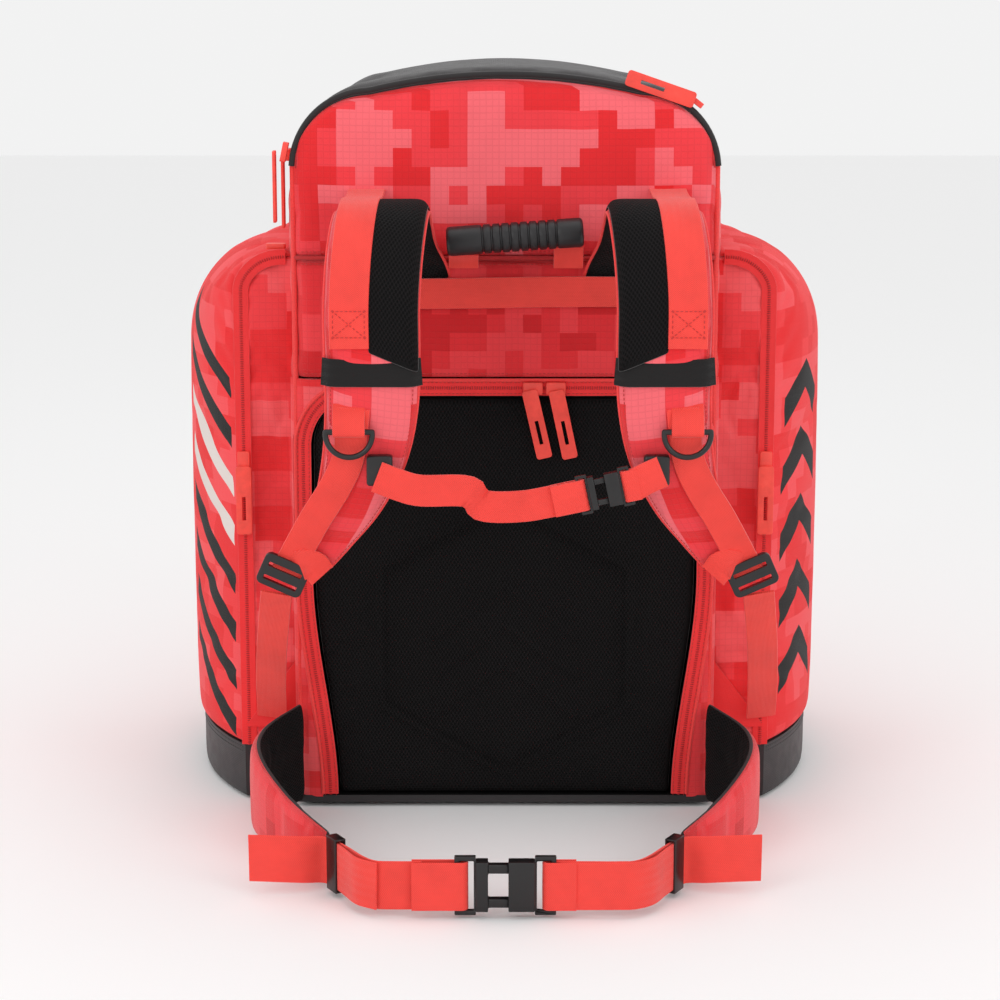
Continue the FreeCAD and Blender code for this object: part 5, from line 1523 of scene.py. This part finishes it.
# %% [markdown]
# ## The hip belt
# Two padded wings leave the lower corners of the bag and curve round towards the buckle. They are
# lofted along a plan path with a lower and an upper edge, red outside and mesh inside. The webbing
# starts at their tips, is doubled back, and its free ends hang outside.

# %% Hip wings and belt webbing
BUCKLE_LOW, BUCKLE_HIGH = [np.array(c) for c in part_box("waist_socket")]
BELT_Y = float((BUCKLE_LOW[1] + BUCKLE_HIGH[1]) / 2)
BELT_Z = float((BUCKLE_LOW[2] + BUCKLE_HIGH[2]) / 2)
BELT_W = 38.0 * MM


def wing(name, side):
    rows = np.array([
        (HALF_W - 3 * MM, BACK_Y - 2 * MM, 5 * MM, 91 * MM, 8.4 * MM), (HALF_W + 24 * MM, BACK_Y - 45 * MM, 4 * MM, 81 * MM, 12 * MM),
        (HALF_W + 22 * MM, BACK_Y - 95 * MM, 3 * MM, 73 * MM, 12 * MM), (HALF_W - 5 * MM, BACK_Y - 148 * MM, 3 * MM, 56 * MM, 10.8 * MM),
        (HALF_W - 39 * MM, BACK_Y - 200 * MM, 4.5 * MM, 45 * MM, 5.4 * MM)])
    flat = np.c_[rows[:, :2], rows[:, 0] * 0, rows[:, 2:]]
    line = flow(flat, 5 * MM)
    run = unit(np.gradient(line[:, :2], axis=0))
    out = np.c_[-run[:, 1], run[:, 0], run[:, 0] * 0]
    share = np.linspace(0, 1, 15)
    z = line[:, 3:4] + share[None, :] * (line[:, 4:5] - line[:, 3:4])
    middle = np.stack([np.broadcast_to(line[:, :1], z.shape), np.broadcast_to(line[:, 1:2], z.shape), z], axis=2)
    normal = np.broadcast_to(out[:, None, :], middle.shape).copy()
    if side < 0:
        middle, normal = swap_side(middle), swap_side(normal)
    section = 0.2 + 0.8 * foam_crown(np.broadcast_to(share, z.shape))
    half = line[:, 5:6] / 2 * section
    sign = np.sign((normal[len(line) // 2, 0] * [side, 0, 0]).sum())
    normal = normal * sign
    return pad(name, middle, half, half, (CAMO_DEEP, MESH, BLACK_PIPING), None, metric_map(middle), normal)


wings = {-1: wing("hip_wing_left", -1), 1: wing("hip_wing_right", 1)}
for piece in wings.values():
    let_settle(piece, 3.0, 0.02, 2.5 * MM, free_back=True)

TIP = np.array([HALF_W - 39 * MM, BACK_Y - 200 * MM])


def belt_main(side, first_x):
    points = [(TIP[0] - 0.4 * MM, TIP[1] - 1.5 * MM), (TIP[0] - 9 * MM, TIP[1] - 17 * MM), (TIP[0] - 18 * MM, TIP[1] - 32 * MM),
              (TIP[0] - 28 * MM, TIP[1] - 49 * MM), (97 * MM, BELT_Y + 1.5 * MM), (84 * MM, BELT_Y), (first_x, BELT_Y)]
    rows = flow(np.array([(side * x, y, BELT_Z - 0.2 * MM) for x, y in points]), 4 * MM)
    return np.c_[rows, np.full(len(rows), BELT_W)], (0, 0, 1.0)


def belt_outer(side, last_x):
    """Second ply: from near the buckle back through the keeper, then the free tail."""
    points = [(last_x, BELT_Y - 2.6 * MM, 0), (84 * MM, BELT_Y - 3.4 * MM, 0.3), (98 * MM, BELT_Y - 2.0 * MM, 0.4), (TIP[0] - 25 * MM, TIP[1] - 54 * MM, 0.3),
              (TIP[0] - 15.0 * MM, TIP[1] - 34.5 * MM, 0), (TIP[0] - 5.6 * MM, TIP[1] - 17.5 * MM, 0), (TIP[0] + 3.0 * MM, TIP[1] - 8.0 * MM, 0.5),
              (TIP[0] + 20 * MM, TIP[1] - 13 * MM, 2.5), (TIP[0] + 42 * MM, TIP[1] - 15 * MM, 4), (TIP[0] + 60 * MM, TIP[1] - 13 * MM, 4)]
    points = [point for point in points if point[0] == last_x or point[0] > last_x + 4 * MM]
    rows = flow(np.array([(side * x, y, BELT_Z + z * MM) for x, y, z in points]), 4 * MM)
    return np.c_[rows, np.full(len(rows), BELT_W * 0.985)], (0, 0, 1.0)


SOCKET_HALF = float(BUCKLE_HIGH[0])
belt_right = tape("belt_webbing_right", [belt_main(1, SOCKET_HALF - 1 * MM), belt_outer(1, SOCKET_HALF + 3 * MM)], WEB_T, WEBBING, 0.5 * MM, 7)
belt_left = tape("belt_webbing_left", [belt_main(-1, SOCKET_HALF + 24.5 * MM), belt_outer(-1, SOCKET_HALF + 58 * MM)], WEB_T, WEBBING, 0.5 * MM, 8)


def bar_loop(direction, bar_x, reach, gap, width, tip=0.0):
    """Webbing doubled round a bar: out along one face, round the bar and back. X and Y only."""
    turn = [(bar_x + direction * gap * math.cos(a), gap * math.sin(a)) for a in np.radians(np.linspace(90, -90, 9))]
    start = [(reach, gap), ((reach + bar_x) / 2, gap)]
    return start + turn + [((reach + bar_x) / 2, -gap), (reach, -gap - tip)]


def belt_bar_loop(side, reach):
    bar = side * (SOCKET_HALF - 5.5 * MM)
    gap = 4.0 * MM
    line = bar_loop(-side, bar, side * reach, gap, BELT_W)
    points = np.array([(x, BELT_Y + y, BELT_Z) for x, y in line])
    return np.c_[points, np.full(len(points), BELT_W * 0.99)], (0, 0, 1.0)


waist_loop = tape("waist_loop_webbing", [belt_bar_loop(-1, SOCKET_HALF + 32 * MM)], WEB_T, WEBBING, 0.0, 9)
socket_loop = tape("socket_loop_webbing", [belt_bar_loop(1, SOCKET_HALF + 15 * MM)], WEB_T, WEBBING, 0.0, 10)

# %% [markdown]
# ## The sternum strap
# A thin strap joins the two shoulder straps across the chest. Clips hold it to the straps, a small
# buckle closes it, and the webbing sags a little between them.

# %% Sternum strap
SB_LOW, SB_HIGH = [np.array(c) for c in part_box("sternum_socket")]
SP_LOW, SP_HIGH = [np.array(c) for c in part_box("sternum_plug")]
STERNUM_TILT = math.radians(12.0)
STERNUM_HALF = 21.0 * MM
STERNUM_Y = float((SB_LOW[1] + SB_HIGH[1]) / 2)
STERNUM_X = 77.0 * MM
STERNUM_Z = ROOT_Z - 125.0 * MM
CLIP_LOW, CLIP_HIGH = [np.array(c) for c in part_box("sternum_clips")]
STERNUM_W = 25.0 * MM


def sternum_point(x, y=0.0):
    return np.array([STERNUM_X + x * math.cos(STERNUM_TILT), STERNUM_Y + y, STERNUM_Z + x * math.sin(STERNUM_TILT)])


def sternum_left():
    start = np.array([CLIP_LOW[0] + 8 * MM, CLIP_LOW[1] - 1.4 * MM, (CLIP_LOW[2] + CLIP_HIGH[2]) / 2 - 4 * MM])
    plug = -STERNUM_HALF - 15 * MM
    points = [start, start + [16 * MM, -1 * MM, -6 * MM], start + [34 * MM, -2 * MM, -10.5 * MM], start + [70 * MM, -3 * MM, -11 * MM],
              sternum_point(plug - 60 * MM) + [0, 0, 8 * MM], sternum_point(plug - 30 * MM) + [0, 0, 1.2 * MM], sternum_point(plug)]
    rows = flow(np.array(points), 4 * MM)
    lean = ease((rows[:, 0] - rows[0, 0]) / (rows[-1, 0] - rows[0, 0])) * STERNUM_TILT
    across = np.stack([-np.sin(lean), lean * 0, np.cos(lean)], axis=1)
    return np.c_[rows, np.full(len(rows), STERNUM_W)], across


LEAN_UP = (-math.sin(STERNUM_TILT), 0, math.cos(STERNUM_TILT))


def sternum_right():
    start = sternum_point(STERNUM_HALF + 2 * MM, -2.6 * MM)
    end = np.array([CLIP_HIGH[0] - 6 * MM, CLIP_LOW[1] - 1.4 * MM, (CLIP_LOW[2] + CLIP_HIGH[2]) / 2])
    rows = flow(np.array([start, start * 0.5 + end * 0.5 + [0, -0.6 * MM, 0.6 * MM], end]), 3 * MM)
    return np.c_[rows, np.full(len(rows), STERNUM_W)], LEAN_UP


def sternum_bar_loop(side, reach):
    gap = 2.9 * MM
    line = bar_loop(-side, side * (STERNUM_HALF - 3.4 * MM), side * reach, gap, STERNUM_W)
    points = np.array([sternum_point(x, y) for x, y in line])
    return np.c_[points, np.full(len(points), STERNUM_W * 0.99)], LEAN_UP


sternum_webs = tape("sternum_webbing_runs", [sternum_left(), sternum_right(), sternum_bar_loop(1, STERNUM_HALF + 6 * MM)], WEB_T, WEBBING, 0.5 * MM, 11)
sternum_loop = tape("sternum_loop_webbing", [sternum_bar_loop(-1, STERNUM_HALF + 20 * MM)], WEB_T, WEBBING, 0.0, 12)
print("belt at", round(BELT_Y, 3), "sternum at", round(STERNUM_Y, 3))

# %% [markdown]
# ## The grab handle
# The grip is a rubber sleeve with ribs, so its shape is a radius that changes along a line. A lathe
# turns any such list of (distance, radius) into a closed skin. The grip leans a little, as it does
# when it has been carried and dropped.


# %% Grip
def lathe(name, profile, start, axis, finish, sides=40):
    """Turn (distance, radius) rows about an axis from start."""
    axis = np.array(Vector(axis).normalized())
    one = unit(np.cross(axis, [0.0, 1.0, 0.0]))
    two = np.cross(axis, one)
    angle = np.linspace(0, 2 * math.pi, sides, endpoint=False)
    ring = np.cos(angle)[:, None] * one + np.sin(angle)[:, None] * two
    vertices = [np.array(start) + axis * far + ring * radius for far, radius in profile]
    faces = []
    for i in range(len(profile) - 1):
        for j in range(sides):
            k = (j + 1) % sides
            faces.append((i * sides + j, i * sides + k, (i + 1) * sides + k, (i + 1) * sides + j))
    last = (len(profile) - 1) * sides
    faces.append(tuple(range(sides)))
    faces.append(tuple(last + j for j in range(sides))[::-1])
    mesh = bpy.data.meshes.new(name)
    mesh.from_pydata(np.vstack(vertices).tolist(), [], faces)
    mesh.materials.append(finish)
    mesh.polygons.foreach_set("use_smooth", np.ones(len(mesh.polygons), bool))
    recalc(mesh)
    mesh.set_sharp_from_angle(angle=math.radians(45))
    made = bpy.data.objects.new(name, mesh)
    scene.collection.objects.link(made)
    return made


GRIP_LOW, GRIP_HIGH = [np.array(c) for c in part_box("handle_grip")]
GRIP_LEN, GRIP_R, RIB_PITCH, RIBS = 110.0 * MM, 11.8 * MM, 7.4 * MM, 9
GRIP_TILT = math.radians(4.0)
GRIP_MID = (GRIP_LOW + GRIP_HIGH) / 2
GRIP_AXIS = Vector((math.cos(GRIP_TILT), 0, math.sin(GRIP_TILT)))


def grip_profile():
    rows = [(0.0, 6.5 * MM), (0.3 * MM, 9.6 * MM), (1.4 * MM, 11.2 * MM), (3.2 * MM, GRIP_R)]
    first = 28.0 * MM
    rows.append((first - 1.5 * MM, GRIP_R))
    for index in range(RIBS):
        at = first + index * RIB_PITCH
        rows += [(at, GRIP_R - 0.2 * MM), (at + 0.5 * MM, GRIP_R - 1.5 * MM), (at + 1.6 * MM, GRIP_R - 1.7 * MM),
                 (at + 2.1 * MM, GRIP_R - 0.4 * MM), (at + 3.0 * MM, GRIP_R), (at + RIB_PITCH - 1.0 * MM, GRIP_R)]
    end = GRIP_LEN
    rows += [(end - 3.2 * MM, GRIP_R), (end - 1.4 * MM, 11.2 * MM), (end - 0.3 * MM, 9.6 * MM), (end, 6.5 * MM)]
    return rows


grip = lathe("grip_sleeve", grip_profile(), Vector(GRIP_MID) - GRIP_AXIS * (GRIP_LEN / 2), GRIP_AXIS, GRIP_RUBBER)
END_LOW, END_HIGH = [np.array(c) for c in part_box("handle_webbing")]


def handle_end(x):
    z = END_LOW[2] + 1.5 * MM
    shift = (x - GRIP_MID[0]) * math.sin(GRIP_TILT)
    points = [(x, BACK_Y - 7.4 * MM, z), (x, BACK_Y - 12 * MM, z + 6 * MM), (x, BACK_Y - 20 * MM, z + 15 * MM + shift)]
    rows = flow(np.array(points), 2 * MM)
    return np.c_[rows, np.full(len(rows), 24 * MM)], (1.0, 0, 0)


handle_ends = tape("handle_webbing_ends", [handle_end(END_LOW[0] + 13 * MM), handle_end(END_HIGH[0] - 13 * MM)], 2.2 * MM, WEBBING, 0.0, 13)

# %% [markdown]
# ## Moulded parts
# Buckles, rings, locks, keepers and zip sliders come out of moulds, so each keeps its CAD shape with
# every sharp edge softened. The long zip pulls are coral rubber.

# %% Moulded copies
BUCKLES = {node: moulded_copy(node + "_moulded", node, 0.9 * MM, BLACK_PLASTIC) for node in ("waist_socket", "waist_plug")}
BUCKLES |= {node: moulded_copy(node + "_moulded", node, 0.6 * MM, BLACK_PLASTIC) for node in ("sternum_socket", "sternum_plug")}
SMALL = {node: moulded_copy(node + "_moulded", node, 0.45 * MM, BLACK_PLASTIC)
         for node in ("left_d_ring", "right_d_ring", "ladder_locks", "sternum_clips", "belt_keepers")}
SLIDERS = {node: moulded_copy(node + "_moulded", node, 0.35 * MM, CORAL_PLASTIC)
           for node in ("door_slider_left", "door_slider_right", "lid_slider_left", "lid_slider_right", "lid_slider_side",
                        "left_pocket_slider", "right_pocket_slider", "left_pocket_top_slider")}
PULLS = {node: moulded_copy(node + "_moulded", node, 0.5 * MM, PULL_RUBBER)
         for node in ("door_pull_left", "door_pull_right", "lid_pull_left", "lid_pull_right", "lid_pull_side",
                      "left_pocket_pull", "right_pocket_pull")}
print("moulded pieces:", len(BUCKLES) + len(SMALL) + len(SLIDERS) + len(PULLS))

# %% [markdown]
# ## Seams, zips and piping
# Zips are what the eye follows on this bag. Each is a band of red tape with a row of small teeth
# down its middle, and the teeth are beads from the Geometry Nodes tree above.


# %% Zip bands
def door_ring_path(out):
    """Round the door from the lower left, over the top, to the lower right, out from its edge."""
    z = np.linspace(DOOR_LOW[2] + 2 * MM, DOOR_HIGH[2] - DOOR_CORNER, 60)
    right = [(float(door_half(v)) + out, v) for v in z]
    hub_x = float(door_half(DOOR_HIGH[2] - DOOR_CORNER)) - DOOR_CORNER
    right += arc(hub_x, float(DOOR_HIGH[2]) - DOOR_CORNER, DOOR_CORNER + out, 4, 90, 16)
    right += [(x, float(DOOR_HIGH[2]) + out) for x in np.linspace(hub_x, 0, 22)[1:]]
    return np.array(right + [(-x, v) for x, v in right[-2::-1]])[::-1]


def flat_band(path, y, width):
    """A band in an upright plane that follows a path of (x, z)."""
    rows = np.c_[path[:, 0], np.full(len(path), y), path[:, 1]]
    run = unit(np.gradient(rows, axis=0))
    across = np.cross(run, [0, 1.0, 0])
    return np.c_[rows, np.full(len(rows), width)], across


ZIP_W = 14.0 * MM
ring_path = door_ring_path(ZIP_W / 2)
ring_tape = tape("door_zip_band", [flat_band(ring_path, BACK_Y + 1.6 * MM, ZIP_W - 0.6 * MM)], 2.4 * MM, RED_CLOTH, 0.3 * MM, 14)
ring_line = np.c_[ring_path[:, 0], np.full(len(ring_path), BACK_Y + 0.2 * MM), ring_path[:, 1]]
ring_teeth = beads("door_zip_teeth", [(ring_line, (0, -1.0, 0))], 1.9 * MM, 1.3 * MM, 3.4 * MM, 1.3 * MM, DARK_PIPING)
ring_cord = tube("door_piping", [np.c_[p[:, 0], np.full(len(p), BACK_Y + 0.4 * MM), p[:, 1]] for p in (door_ring_path(13.4 * MM),)], 1.5 * MM, PIPING)


def pocket_zip_path(end):
    """Up the outer edge of a pocket and over its top to the wall."""
    t = np.linspace(0.0, 0.985, 90)
    x, z = pocket_profile(np.full(t.shape, POCKET_EDGE_X - 3 * MM), t)
    keep = x > HALF_W + 4 * MM
    return np.c_[x[keep] - 1 * MM, np.full(keep.sum(), end * (POCKET_HALF_D + 0.4 * MM)), z[keep] - 5 * MM * ease((z[keep] - 0.42) / 0.04)]


def pocket_band(side, end):
    rows = pocket_zip_path(end)
    run = unit(np.gradient(rows, axis=0))
    across = np.cross(run, [0, float(end), 0])
    if side < 0:
        rows = swap_side(rows)
        across = swap_side(across)
    return np.c_[rows, np.full(len(rows), 13.0 * MM)], across


POCKET_SIDES = [(side, end) for side in (-1, 1) for end in (-1, 1)]
pocket_tapes = tape("pocket_zip_bands", [pocket_band(*place) for place in POCKET_SIDES], 2.0 * MM, RED_CLOTH, 0.3 * MM, 15)


def pocket_line(side, end, out):
    rows = pocket_zip_path(end) + [0, end * out, 0]
    return swap_side(rows) if side < 0 else rows


pocket_teeth = beads("pocket_zip_teeth", [(pocket_line(side, end, 1.2 * MM), (0, float(end), 0)) for side, end in POCKET_SIDES],
                     1.9 * MM, 1.3 * MM, 3.4 * MM, 1.2 * MM, DARK_PIPING)


# %% Stiles beside the door
def stile_inner(z):
    """Outer edge of the zip ring at height z."""
    up = z - (DOOR_HIGH[2] - DOOR_CORNER)
    hub = door_half(DOOR_HIGH[2] - DOOR_CORNER) - DOOR_CORNER
    curve = hub + np.sqrt(np.maximum((DOOR_CORNER + ZIP_W) ** 2 - up**2, 0))
    return np.where(up > 0, curve, door_half(z) + ZIP_W)


def stile(name, side):
    z = np.linspace(BASE_HIGH[2], PANEL_Z, 60)
    s = np.linspace(0, 1, 9)
    inner = np.minimum(stile_inner(z) - 0.5 * MM, HALF_W - 1.5 * MM)[:, None]
    xx = inner + s[None, :] * (HALF_W - inner)
    zz = np.broadcast_to(z[:, None], xx.shape)
    yy = BACK_Y + 3.5 * MM + corner_y(xx)
    middle = np.stack([side * xx, yy, zz], axis=2)
    return pad(name, middle, 3 * MM, 2.5 * MM, (CAMO_SIDE, LINER, CAMO_SIDE), (0, -1, 0), np.stack([side * xx, zz], axis=2))


stiles = {-1: stile("stile_left", -1), 1: stile("stile_right", 1)}


def web_gusset(side):
    """The stitched triangle that anchors a lower webbing."""
    low, high = [np.array(c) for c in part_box("anchor_gussets")]
    z = np.linspace(low[2] + 0.4 * MM, high[2] - 0.8 * MM, 18)
    s = np.linspace(0, 1, 9)
    reach = 44 * MM * np.clip((high[2] - z) / (high[2] - low[2]) * 1.04, 0.05, 1)
    xx = HALF_W + 1 * MM + s[None, :] * reach[:, None]
    zz = np.broadcast_to(z[:, None], xx.shape)
    middle = np.stack([side * xx, np.full(xx.shape, (low[1] + high[1]) / 2), zz], axis=2)
    return pad("anchor_cloth", middle, 1.4 * MM, 1.2 * MM, (RED_CLOTH, RED_CLOTH, PIPING), (0, -1, 0))


anchors = join("anchor_cloth_both", [web_gusset(-1), web_gusset(1)])

# %% [markdown]
# Piping closes every raw edge: black round the lid, red round the straps and along the seam under
# the handle. It is a thin round cord, so it catches one line of light.


# %% Piping
def across_seam(z, out=0.0, half=None):
    half = HALF_W - 1 * MM if half is None else half
    x = np.linspace(-half, half, 70)
    return np.c_[x, BACK_Y + corner_y(x) - out, np.full(len(x), z)]


def lid_edge(y):
    line = dome(5 * MM, 2.2 * MM)
    return np.c_[line[:, 0], np.full(len(line), y), line[:, 1]]


lid_cord = tube("lid_edge_cord", [lid_edge(BACK_Y + 2.6 * MM), lid_edge(FRONT_Y - 2.6 * MM)], 2.6 * MM, BLACK_PIPING)
seam_cord = tube("yoke_seam_cord", [across_seam(SEAM_Z, 0.0)], 1.8 * MM, DARK_PIPING)
edge_runs = []
for side in (-1, 1):
    for share in (0.0, 1.0):
        edge_runs.append(strap_edge(side, share, 2)[0])
strap_cord = tube("strap_edge_cord", edge_runs, 1.3 * MM, PIPING)
corner_runs = [np.c_[np.full(60, side * (HALF_W - 2.5 * MM)), np.full(60, y), np.linspace(BASE_HIGH[2], SHOULDER_Z, 60)]
               for side in (-1, 1) for y in (BACK_Y + 7 * MM, FRONT_Y - 7 * MM)]
corner_cord = tube("corner_cord", corner_runs, 2.4 * MM, PIPING)


# %% [markdown]
# Stitching is laid last. Every seam that a sewing machine would close gets a row of thread beads a
# few millimetres inside its edge, and webbing is tacked down with a crossed box.


# %% Stitching
def box_stitch(centre, wide, high, normal, across):
    """Corner points of a stitched box with its cross, on a flat place."""
    across = unit(np.asarray(across, float))
    up = unit(np.cross(np.asarray(normal, float), across))
    def at(a, b):
        return np.asarray(centre) + across * (a * wide / 2) + up * (b * high / 2)
    runs = [(at(-1, -1), at(1, -1)), (at(1, -1), at(1, 1)), (at(1, 1), at(-1, 1)), (at(-1, 1), at(-1, -1)), (at(-1, -1), at(1, 1)), (at(-1, 1), at(1, -1))]
    return [([a, b], normal) for a, b in runs]


def lifter_box(side):
    row = row_at(7.35)
    lift = strap_height([row], 0.73)[0] + 3.6 * MM + 1.1 * MM
    grid, normal = strap_grid(side, [row], np.array([[0.73]]), lift)
    return box_stitch(grid[0, 0], 24 * MM, 20 * MM, normal[0, 0], (1.0, 0, 0))


red_runs = [(across_seam(SEAM_Z - 5 * MM, 1.0 * MM, 0.165), (0, -1.0, 0)), (across_seam(SEAM_Z + 5 * MM, 1.0 * MM, 0.165), (0, -1.0, 0)),
            (across_seam(PANEL_Z + 5 * MM, 0.8 * MM, 0.165), (0, -1.0, 0))]
for side in (-1, 1):
    red_runs += lifter_box(side)
    red_runs += box_stitch((float(band_high[0] if side > 0 else band_low[0]) - side * 10 * MM, float(band_low[1]) - 0.6 * MM,
                            float(band_low[2] + band_high[2]) / 2), 14 * MM, 18 * MM, (0, -1.0, 0), (1.0, 0, 0))
    for share in (0.055, 0.945):
        rows = np.arange(row_at(7.8), len(STRAP) - 2)
        grid, normal = strap_grid(side, rows, np.full((len(rows), 1), share),
                                  (strap_height(rows, share) + 0.2 * MM)[:, None])
        red_runs.append((grid[:, 0], normal[:, 0]))
red_thread = stitches("red_stitching", red_runs, THREAD_RED, "bag")
ring_out = door_ring_path(2.2 * MM), door_ring_path(11.4 * MM)
ring_runs = [(np.c_[p[:, 0], np.full(len(p), BACK_Y + 0.1 * MM), p[:, 1]], (0, -1.0, 0)) for p in ring_out]
ring_thread = stitches("door_ring_stitching", ring_runs, THREAD_RED, "bag")
tray_runs = []
for side in (-1, 1):
    ys = np.linspace(-POCKET_HALF_D + 4 * MM, POCKET_HALF_D - 4 * MM, 60)
    reach = pocket_reach(ys)
    for z in (41 * MM, 44.5 * MM):
        tray_runs.append((np.c_[side * (reach - 0.1 * MM), ys, np.full(60, z)], (float(side), 0, 0)))
tray_thread = stitches("tray_stitching", tray_runs, THREAD_BLACK, "bag")

# %% Settle all the cloth together
run_cloth()

# %% Sew the shell to its bodies
for piece in (collar, yoke, front, pocket_cloth, left_wall, right_wall, *shells.values(), *gussets, lid_top):
    finer(piece)
sew(collar, "bag", "camo_fabric", "upper_back_panel", fill=0.3)
sew(yoke, "bag", "camo_fabric")
sew(front, "bag", "camo_fabric", "front_panel", fill=0.3)
sew(pocket_cloth, "bag", "camo_fabric", "front_pocket", fill=0.4)
sew(left_wall, "bag", "camo_fabric", "left_side_wall", fill=0.3)
sew(right_wall, "bag", "camo_fabric", "right_side_wall", fill=0.3)
sew(base, "bag", "tarpaulin", "base_board")
sew(lid_top, "lid", "tarpaulin", "lid_shell", fill=0.3)
sew(lid_left, "lid", "camo_fabric")
sew(lid_right, "lid", "camo_fabric")
for side, word in ((-1, "left"), (1, "right")):
    sew(shells[side], word + "_pocket_door", "camo_fabric", word + "_pocket_door", fill=0.5)
    sew(trays[side], "bag", "tarpaulin", word + "_pocket_base")
for piece in gussets:
    word = "left" if "left" in piece.name else "right"
    sew(piece, "bag", "camo_fabric", word + "_pocket_gussets")


# %% Press the figure into the door
def figure_depth(x, z):
    """How high the moulded figure stands at (x, z), in metres."""
    x = np.abs(x)
    z = z - 0.148
    def ridge(distance, wide):
        return np.exp(-(distance / wide) ** 4)
    edge = np.maximum(x * 0.5 + np.abs(z) * 0.87, x)
    rim = ridge(edge - 0.104, 2.6 * MM) + 0.8 * ridge(edge - 0.096, 1.3 * MM)
    peaks = np.zeros_like(x)
    for low in (-0.052, -0.018, 0.016):
        line = z - (low + 0.03 - x * 0.75)
        peaks = np.maximum(peaks, ridge(line, 4.2 * MM) * (x < 0.062))
    inside = edge < 0.09
    return 2.4 * MM * rim + 2.2 * MM * peaks * inside


def shape_door():
    finer(door)
    points = coordinates(door.data)
    face = ease((BACK_Y + 6 * MM - points[:, 1]) / (4 * MM))
    x, z = points[:, 0], points[:, 2]
    lift = figure_depth(x, z)
    quilt = 0.5 * MM * lattice_noise(np.c_[x, z, z * 0], 0.035, 9)
    points[:, 1] -= face * (lift + quilt)
    set_coordinates(door.data, points)


shape_door()
sew(door, "back_door", "spacer_mesh", "back_door_pad", fill=0.6)


# %% Sew the harness and the belt
for piece in (*strap_pads.values(), *wings.values()):
    finer(piece)
for side, word in ((-1, "left"), (1, "right")):
    sew(strap_pads[side], "bag", "camo_fabric", word + "_strap_pad", fill=0.8)
    sew(wings[side], "bag", "camo_fabric", word + "_hip_wing", fill=0.8)
    sew(stiles[side], "bag", "camo_fabric", word + "_back_stile")
overlay = join("strap_mesh_both", overlays)
sew(overlay, "bag", "spacer_mesh", "strap_mesh_overlays", fill=0.3)
sew(lifters, "bag", "coral_webbing", "load_lifters")
sew(elastics, "bag", "elastic", "elastic_bands")
sew(strap_webs, "bag", "coral_webbing", "strap_webbings")
sew(lower_webs, "bag", "coral_webbing", "lower_webbings")
sew(root_band, "bag", "coral_webbing", "strap_root_band")
sew(anchors, "bag", "plain_fabric", "anchor_gussets")
sew(belt_left, "bag", "coral_webbing", "left_belt_webbing")
sew(belt_right, "bag", "coral_webbing", "right_belt_webbing")
sew(socket_loop, "bag", "coral_webbing")
sew(waist_loop, "waist_plug", "coral_webbing", "waist_loop")
sew(sternum_webs, "bag", "coral_webbing", "sternum_webbings")
sew(sternum_loop, "sternum_plug", "coral_webbing", "sternum_loop")
sew(grip, "handle", "grip_rubber", "handle_grip")
sew(handle_ends, "handle", "coral_webbing", "handle_webbing")

# %% Sew zips, piping and moulded parts
sew(ring_tape, "bag", "plain_fabric", "door_zip_tape")
sew(ring_teeth, "bag", "plain_fabric")
sew(ring_cord, "bag", "plain_fabric")
sew(pocket_tapes, "bag", "plain_fabric")
sew(pocket_teeth, "bag", "plain_fabric")
sew(lid_cord, "lid", "tarpaulin", "lid_piping")
for cord in (seam_cord, strap_cord, corner_cord):
    sew(cord, "bag", "plain_fabric")
BODY_OF = {"left_d_ring": "left_ring", "right_d_ring": "right_ring", "waist_plug": "waist_plug", "sternum_plug": "sternum_plug",
           "left_pocket_top_slider": "left_top_slider"}
for node, piece in {**BUCKLES, **SMALL}.items():
    sew(piece, BODY_OF.get(node, "bag"), "black_plastic", node)
for node, piece in SLIDERS.items():
    sew(piece, BODY_OF.get(node, node), "coral_plastic", node)
for node, piece in PULLS.items():
    sew(piece, node, "pull_rubber", node)
